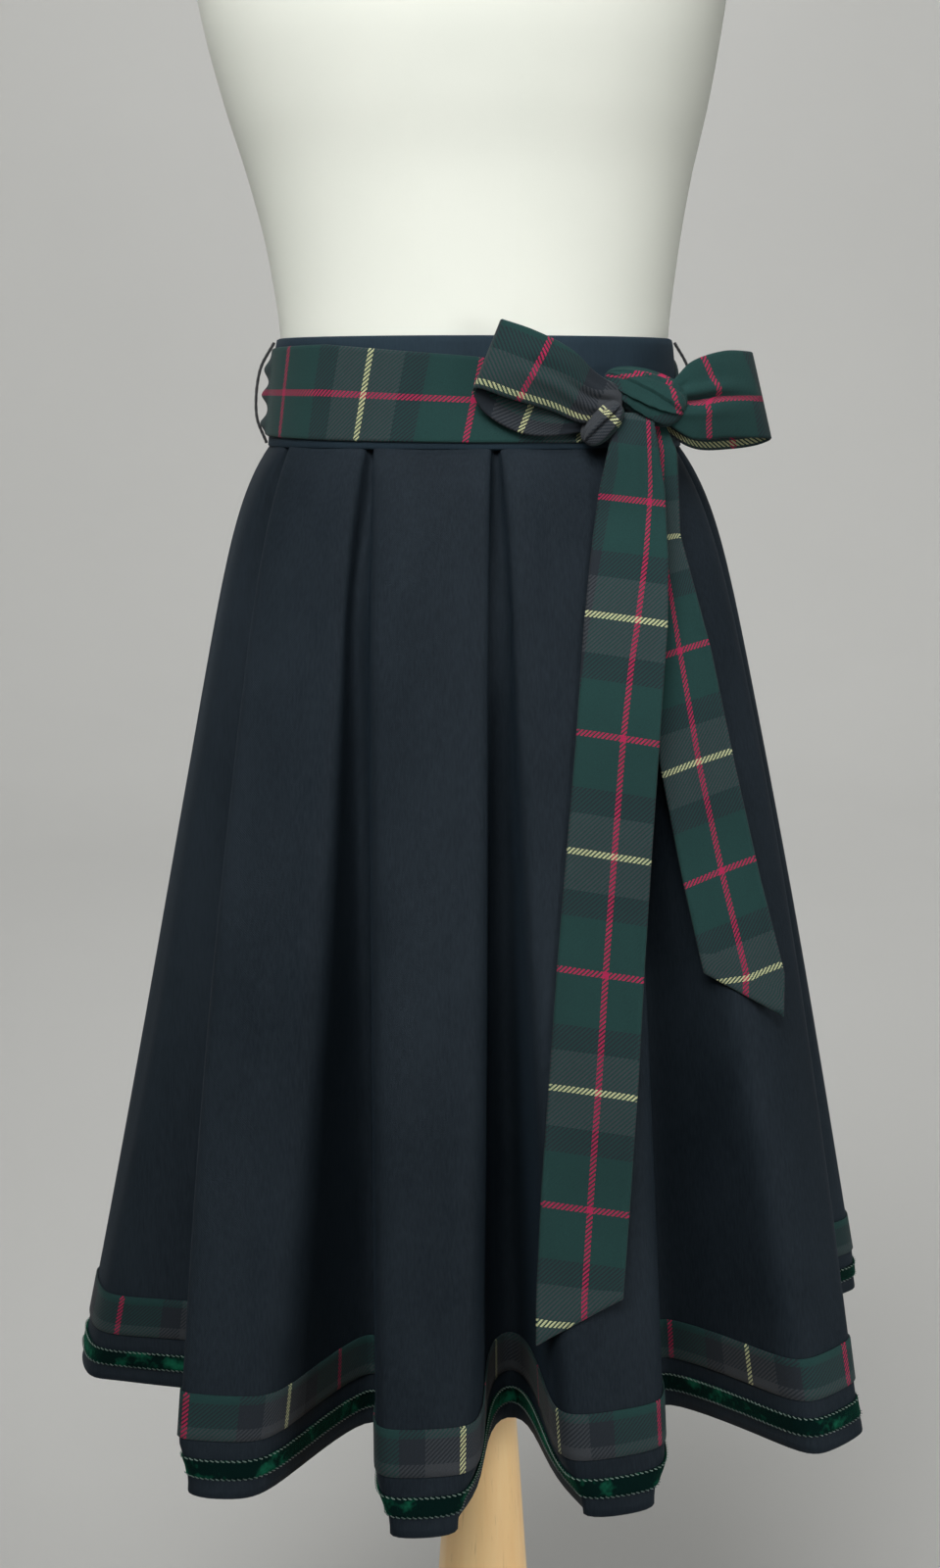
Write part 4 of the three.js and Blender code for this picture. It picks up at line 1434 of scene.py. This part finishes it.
@dataclass(frozen=True)
class SashTail:
    """A tail of the sash, which hangs from the knot on the pleats.

    Args:
        node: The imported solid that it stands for.
        edges: Height, left and right edge at some heights.
        held: Height and how far forward the knot holds it, at some heights.
        end: The heights of the left and right corners of its slanting end.
        red: Height and the share of its width at which the red line runs, at some heights.
        cross: The height at which a red cross line meets its middle.
        stretch: How much longer than the sett its pattern is.
        skew: How far the cross lines slope beyond square to the tail.
        creases: Its folds, across from its left edge and along from the knot.
        plan: The pleats that it lies on.
    """

    node: str
    edges: tuple[tuple[float, float, float], ...]
    held: tuple[tuple[float, float], ...]
    end: tuple[float, float]
    red: tuple[tuple[float, float], ...]
    cross: float
    stretch: float
    skew: float
    creases: tuple[Crease, ...]
    plan: FoldPlan = FoldPlan()

    # How far it stays off the pleats, how far a fold sets it back and its edges curl forward at most, in how
    # much of its length the curl grows, and how much its pattern may be drawn together
    REST = 1.2
    SET_BACK = 0.6
    CURL = 0.8
    CURL_GROWS = 1 / 6
    DRAWN = 0.6
    FRONT_PLEATS = 5
    PROBES = 90
    ROWS = 120
    COLUMNS = 22

    def skirt_front(self, heights: np.ndarray, left: np.ndarray, right: np.ndarray) -> np.ndarray:
        """Finds how far forward the skirt reaches.

        Args:
            heights: Where to look.
            left: The left end of the stretch to look at, at each height.
            right: Its right end.

        Returns:
            The foremost Y at each height.
        """
        places = self.plan.places(0, self.FRONT_PLEATS)
        points, _ = self.plan.surface(places, (SEAM - heights) / DROP, creased=False)
        reach = []
        for row, low, high in zip(points, left, right):
            found = list(row[(row[:, 0] >= low) & (row[:, 0] <= high), 1])
            for spot in (low, high):
                side = row[:, 0] - spot
                for index in np.nonzero(side[:-1] * side[1:] < 0)[0]:
                    share = side[index] / (side[index] - side[index + 1])
                    found.append(row[index, 1] + (row[index + 1, 1] - row[index, 1]) * share)
            reach.append(min(found))
        return np.array(reach)

    def build(self) -> bpy.types.Object:
        """Builds the tail.

        Returns:
            The piece.
        """
        edge_heights, left_edge, right_edge = np.transpose(self.edges[::-1])
        top = edge_heights[-1]
        across = np.linspace(0, 1, self.COLUMNS + 1)
        down = np.linspace(0, 1, self.ROWS + 1)[:, None]
        bottom = self.end[0] + (self.end[1] - self.end[0]) * across
        height = top + (bottom[None] - top) * down
        left, right = [np.interp(height, edge_heights, edge) for edge in (left_edge, right_edge)]
        heights = np.linspace(min(self.end), top, self.PROBES)
        sides = [np.interp(heights, edge_heights, edge) for edge in (left_edge, right_edge)]
        front = self.skirt_front(heights, *sides) - SASH_CLOTH / 2 - self.REST
        reach = np.minimum(front, np.interp(heights, *np.transpose(self.held[::-1])))
        x = left + (right - left) * across
        points = np.stack([x, np.interp(height, heights, reach), height], axis=-1)
        share_across, share_down = np.meshgrid(across, down[:, 0])
        push = sum(crease.push(share_across, share_down) for crease in self.creases)
        curl = self.CURL * (2 * share_across - 1) ** 4 * smooth(share_down / self.CURL_GROWS)
        points[..., 1] += np.minimum(push, self.SET_BACK) - curl
        facing = grid_facing(points)
        middle = self.COLUMNS // 2
        spine_height = height[:, middle]
        lean = np.gradient((left + right)[:, middle] / 2) / np.gradient(spine_height)
        run = run_along(points[None, :, middle])[0]
        zero = float(np.interp(-self.cross, -spine_height, run))
        level_run = np.interp(-height, -spine_height, run) + np.maximum(spine_height[-1] - height, 0.0)
        wide = float((right - left)[:, middle].max())
        sideways = x - (left + (right - left) * np.interp(height, *np.transpose(self.red[::-1])))
        along = (level_run - zero) / self.stretch - sideways * (lean[:, None] + self.skew)
        flat = np.stack([along, sideways * wide / np.maximum(right - left, self.DRAWN * wide)], axis=-1)
        piece = Cloth(points + facing * SASH_CLOTH / 2, facing, flat).shell(self.node + "_cloth", SASH_CLOTH)
        dress(piece, Finish.CHECK, self.node)
        return piece


LONG_TAIL = SashTail(
    "sash_tail_long",
    ((1072, 84, 103), (1054, 78.5, 105.5), (1028, 73, 110), (990, 68, 112), (950, 64, 111.5),
     (885, 59.5, 107), (820, 54, 102.5), (755, 48.5, 98.5), (688, 44, 95), (625, 39.5, 91),
     (560, 36.5, 86.5)),
    ((1072, -94), (1054, -101)),
    (534, 561),
    ((1066, 0.86), (1046, 0.82), (1010, 0.75), (975, 0.68), (930, 0.60), (885, 0.56), (560, 0.55)),
    886.0, 1.035, 0.07,
    creases(
        (0.30, -0.15, 0.00, 0.16, 1.3, 0.12, 0.3), (0.70, 0.10, 0.00, 0.14, 1.1, 0.10, 0.3),
        (0.50, 0.10, 0.02, 0.20, -0.9, 0.14), (0.60, -0.20, 0.35, 0.70, -0.8, 0.30),
        (0.25, 0.20, 0.60, 1.00, -0.7, 0.30),
    ),
)
SHORT_TAIL = SashTail(
    "sash_tail_short",
    ((1066, 102, 111), (1050, 101, 118), (1002, 98, 120.5), (935, 101, 139), (866, 110.5, 154),
     (800, 124, 169.5), (742, 137.5, 185)),
    ((1066, -84), (1050, -88)),
    (742, 716),
    ((1066, 0.52), (742, 0.52)),
    934.0, 1.0, -0.14,
    creases(
        (0.40, -0.10, 0.00, 0.25, 1.2, 0.12, 0.3), (0.60, 0.10, 0.30, 0.80, -0.9, 0.30),
        (0.30, 0.10, 0.60, 1.00, -0.7, 0.25),
    ),
)


@dataclass(frozen=True)
class BeltLoop:
    """A bridge of twisted thread over the sash at one side of the waist.

    Args:
        node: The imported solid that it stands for.
        side: -1 for the side at -X and 1 for the other.
        stand: How far it stands off the sash, in millimetres.
        foot: How far its ends are from the band's edges.
        shoulder: How far from its middle it bends.
        thick: The thread's thickness.
        hollow: How much of that the twist takes away.
        twist: How far the twist turns at each step, in radians.
    """

    node: str
    side: int
    stand: float = 7.0
    foot: float = 1.2
    shoulder: float = 14.0
    thick: float = 2.0
    hollow: float = 0.16
    twist: float = 0.55

    STEPS = 90
    SIDES = 20

    def stop(self, height: float, out: float) -> list[float]:
        """Gives a point of the loop's route, some way out from the band."""
        return [self.side * (float(band_oval(height)[0]) + out), 0.0, height]

    def build(self) -> bpy.types.Object:
        """Builds the loop.

        Returns:
            The piece.
        """
        middle = (BAND_TOP + SEAM) / 2
        low, high = self.thick / 2 + GAP, SASH_CLOTH + self.stand
        route = np.array([self.stop(BAND_TOP - self.foot, low), self.stop(middle + self.shoulder, high),
                          self.stop(middle - self.shoulder, high), self.stop(SEAM + self.foot, low)])
        spine = curve_through(route, np.linspace(0, 1, self.STEPS))
        sideways = unit(np.cross(unit(np.gradient(spine, axis=0)), TO_FRONT))
        around = np.linspace(0, FULL_TURN, self.SIDES + 1)
        wave = np.abs(np.cos(around - np.arange(self.STEPS)[:, None] * self.twist))
        size = self.thick / 2 * (1 - self.hollow + self.hollow * wave)
        circle = (np.cos(around)[None, :, None] * TO_FRONT
                  + np.sin(around)[None, :, None] * sideways[:, None]) * size[..., None]
        points = spine[:, None] + circle
        piece = solid(self.node + "_thread", points, np.zeros((*points.shape[:2], 2)))
        return dress(piece, Finish.LOOP_THREAD, self.node)


# The dress form: height, half width, half depth, how far each section is set forward and leans to -X
FORM = np.array([
    [862, 96, 74, 0, 0],
    [866, 112, 88, 0, 0],
    [878, 124, 98, 0, 0],
    [900, 129.5, 102.5, 0, 0],
    [930, 131, 104, 0, 0],
    [980, 126.5, 99.5, 0, 0],
    [1020, 122, 95, 0, 0],
    [SEAM, 120, 93, 0, 0],
    [1084, 119.6, 92.6, 0, 0],
    [BAND_TOP, 119.6, 92.6, 0, 0],
    [1168, 126, 96, 1, 1],
    [1212, 135, 102, 2, 3],
    [1254, 146, 110, 5, 5],
    [1296, 155, 116, 8, 7],
    [1335, 161, 118, 8, 8],
    [1380, 164, 114, 5, 8],
    [1420, 160, 103, 2, 8],
    [1450, 145, 90, 0, 8],
    [1472, 115, 76, 0, 8],
    [1486, 86, 66, 0, 8],
    [1500, 67, 58, 0, 8],
    [1522, 58, 54, 0, 8],
    [1540, 56, 52, 0, 8],
])


class DressForm:
    """The limbless form."""

    ROWS = 200
    ROUND = 120

    def build(self) -> bpy.types.Object:
        """Builds the torso.

        Returns:
            The piece.
        """
        rows = curve_through(FORM, np.linspace(0, 1, self.ROWS))[::-1]
        height, wide, deep, forward, lean = np.transpose(rows)[..., None]
        angle = np.linspace(0, 360, self.ROUND + 1)
        points = round_grid(wide, deep, angle, height) - np.dstack([lean, forward, np.zeros_like(lean)])
        flat = np.stack([run_along(points), FORM[-1, 0] - points[..., 2]], axis=-1)
        return dress(solid("form_torso_cover", points, flat), Finish.FORM, "form_torso")


@dataclass(frozen=True)
class Stand:
    """The tapered wooden column and its round foot, in millimetres.

    Args:
        column_radius: The column's radius in its straight upper part.
        taper: How much wider it gets for each millimetre down below that.
        toe: Its radius at the floor, if it went on down to it.
        base_radius: The foot's radius.
        base_thick: Its thickness.
        base_edge: The radius of its rounded upper edge.
        base_break: How much its lower edge is broken.
        shift: How far both stand to +X.
        form_bottom: The height of the form's underside.
    """

    column_radius: float = 18.0
    taper: float = 0.0676
    toe: float = 49.9
    base_radius: float = 175.0
    base_thick: float = 22.0
    base_edge: float = 7.0
    base_break: float = 1.5
    shift: float = 6.0
    form_bottom: float = 862.0

    ROUND = 96
    LOWER_ROWS = 60
    UPPER_ROWS = 30
    UNDER_RADIUS = 60.0
    TOP_RADII = (150.0, 110.0, 70.0, 20.0)

    def turned(self, node: str, profile: list[tuple[float, float]]) -> bpy.types.Object:
        """Makes a turned wooden piece.

        Args:
            node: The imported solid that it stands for.
            profile: Radii and heights, from the bottom up.

        Returns:
            The piece.
        """
        radii, heights = np.transpose(profile[::-1])[..., None]
        points = round_grid(radii, radii, np.linspace(0, 360, self.ROUND + 1), heights) + [self.shift, 0, 0]
        flat = np.stack([run_along(points), points[..., 2]], axis=-1)
        return dress(solid(node + "_wood", points, flat), Finish.WOOD, node)

    def build(self) -> list[bpy.types.Object]:
        """Builds the foot and the column.

        Returns:
            The pieces.
        """
        shoulder = (self.toe - self.column_radius) / self.taper
        low = self.base_thick + GAP
        heights = [low, *np.linspace(low + 1, shoulder, self.LOWER_ROWS),
                   *np.linspace(shoulder + 4, self.form_bottom - GAP, self.UPPER_ROWS)]
        column = [(max(self.column_radius, self.toe - self.taper * height), height) for height in heights]
        under = [(self.UNDER_RADIUS, 0.0), (self.base_radius - self.base_break, 0.0),
                 (self.base_radius, self.base_break)]
        rim = [(self.base_radius - self.base_edge * (1 - math.cos(math.radians(angle))),
                self.base_thick - self.base_edge * (1 - math.sin(math.radians(angle))))
               for angle in range(0, 91, 6)]
        tops = [(radius, self.base_thick) for radius in self.TOP_RADII]
        return [self.turned("form_base", [*under, *rim, *tops]), self.turned("form_column", column)]


@dataclass(frozen=True)
class Lamp:
    """A soft square light: its place, size and power, where it points and how widely it spreads."""

    name: str
    place: tuple[float, float, float]
    size: float
    power: float
    target: tuple[float, float, float] = (0.0, 0.0, 0.95)
    spread: float = 180.0


LAMPS = (
    Lamp("key_light", (-0.35, -1.6, 2.65), 1.6, 14.0, (0.0, 0.0, 1.5), 60.0),
    Lamp("fill_light", (1.7, -1.7, 0.75), 0.9, 2.5, (0.1, 0.0, 0.38), 56.0),
    Lamp("back_light", (-0.6, 2.6, 2.4), 2.0, 9.0),
)


class Studio:
    """The floor, the lights and the camera."""

    CAMERA_PLACE = (-0.0027, -1.4, 1.081)
    CAMERA_DOWN = 9.8865
    LENS = 50.87
    SENSOR = 36.0
    WORLD = (186, 186, 184)
    WORLD_STRENGTH = 0.07

    # The floor, in millimetres: the radius of its flat part, the radius of its sweep and the wall's height
    FLAT = 4500.0
    SWEEP = 3000.0
    WALL = 4200.0
    SWEEP_STEPS = 24
    ROUND = 128

    # The lights that wash the wall, in metres: their number, distance, height, what they point at, size and
    # power, and the share of that power in front of the figure
    WASHES = 6
    WASH_REACH = 4.6
    WASH_HEIGHT = 5.0
    WASH_AIM = 7.6
    WASH_AIM_HEIGHT = 0.8
    WASH_SIZE = 2.5
    WASH_POWER = 118.0
    WASH_FRONT = 0.08

    def floor(self) -> bpy.types.Object:
        """Makes the round floor, which sweeps up into a low wall far out on all sides.

        Returns:
            The floor.
        """
        bend = np.radians(np.linspace(0, 90, self.SWEEP_STEPS)[1:])
        radii = np.array([1.0, self.FLAT / 3, self.FLAT, *(self.FLAT + self.SWEEP * np.sin(bend)),
                          self.FLAT + self.SWEEP])[:, None]
        heights = np.array([0.0, 0.0, 0.0, *(self.SWEEP * (1 - np.cos(bend))), self.WALL])[:, None]
        points = round_grid(radii, radii, np.linspace(0, 360, self.ROUND + 1), heights)
        floor = sewn_mesh("studio_floor", points[:, :-1], np.zeros((*points.shape[:2], 2)))
        floor.data.materials.append(PaleFloor().make())
        return floor

    def wall_lamps(self) -> list[Lamp]:
        """Gives the lights high up round the studio, which wash the wall, most of all behind the figure.

        Returns:
            The lights.
        """
        lamps = []
        for index in range(self.WASHES):
            turn = FULL_TURN * index / self.WASHES
            way = np.array([math.sin(turn), -math.cos(turn)])
            power = self.WASH_POWER * (self.WASH_FRONT + (1 - self.WASH_FRONT) * (1 + way[1]) / 2)
            lamps.append(Lamp(f"wall_light_{index}", (*(way * self.WASH_REACH), self.WASH_HEIGHT),
                              self.WASH_SIZE, power, (*(way * self.WASH_AIM), self.WASH_AIM_HEIGHT)))
        return lamps

    def put(self, name: str, data: bpy.types.ID, place: tuple[float, float, float]) -> bpy.types.Object:
        """Puts a light or a camera in the scene.

        Args:
            name: Its name.
            data: The light or the camera.
            place: Where it stands, in metres.

        Returns:
            The object that holds it.
        """
        holder = bpy.data.objects.new(name, data)
        holder.location = place
        bpy.context.scene.collection.objects.link(holder)
        return holder

    def build(self) -> None:
        """Builds the studio."""
        scene = bpy.context.scene
        self.floor()
        for lamp in (*LAMPS, *self.wall_lamps()):
            light = bpy.data.lights.new(lamp.name, "AREA")
            light.shape = "SQUARE"
            light.size = lamp.size
            light.energy = lamp.power
            light.spread = math.radians(lamp.spread)
            aim = Vector(lamp.target) - Vector(lamp.place)
            holder = self.put(lamp.name, light, lamp.place)
            holder.rotation_euler = aim.to_track_quat("-Z", "Y").to_euler()
        scene.world = bpy.data.worlds.new("studio")
        scene.world.use_nodes = True
        sky = scene.world.node_tree.nodes["Background"]
        sky.inputs[0].default_value = linear(*self.WORLD)
        sky.inputs[1].default_value = self.WORLD_STRENGTH
        scene.view_settings.view_transform = "Standard"
        camera = bpy.data.cameras.new("photo_camera")
        camera.lens = self.LENS
        camera.sensor_width = self.SENSOR
        scene.camera = self.put("photo_camera", camera, self.CAMERA_PLACE)
        scene.camera.rotation_euler = (math.radians(90 - self.CAMERA_DOWN), 0.0, 0.0)


def corners(bounds: tuple[Vector, Vector]) -> list[list[float]]:
    """Turns a box's two corners into plain lists."""
    return [list(corner) for corner in bounds]


def main() -> None:
    """Builds the whole scene, from the studio to the bow, and reports each piece."""
    logging.basicConfig(level=logging.INFO, format="%(name)s: %(message)s")
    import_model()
    Studio().build()
    parts = (Waistband(), SashBelt(), KNOT, UNDER_TURN, LEFT_LOOP, RIGHT_LOOP, LONG_TAIL, SHORT_TAIL,
             BeltLoop("belt_loop_left", -1), BeltLoop("belt_loop_right", 1), DressForm())
    pieces = [*Skirt().build(), *HemTrims().build(), *(part.build() for part in parts), *Stand().build()]
    for piece in pieces:
        log.info("%s: %d faces", piece.name, len(piece.data.polygons))


if __name__ == "__main__":
    main()
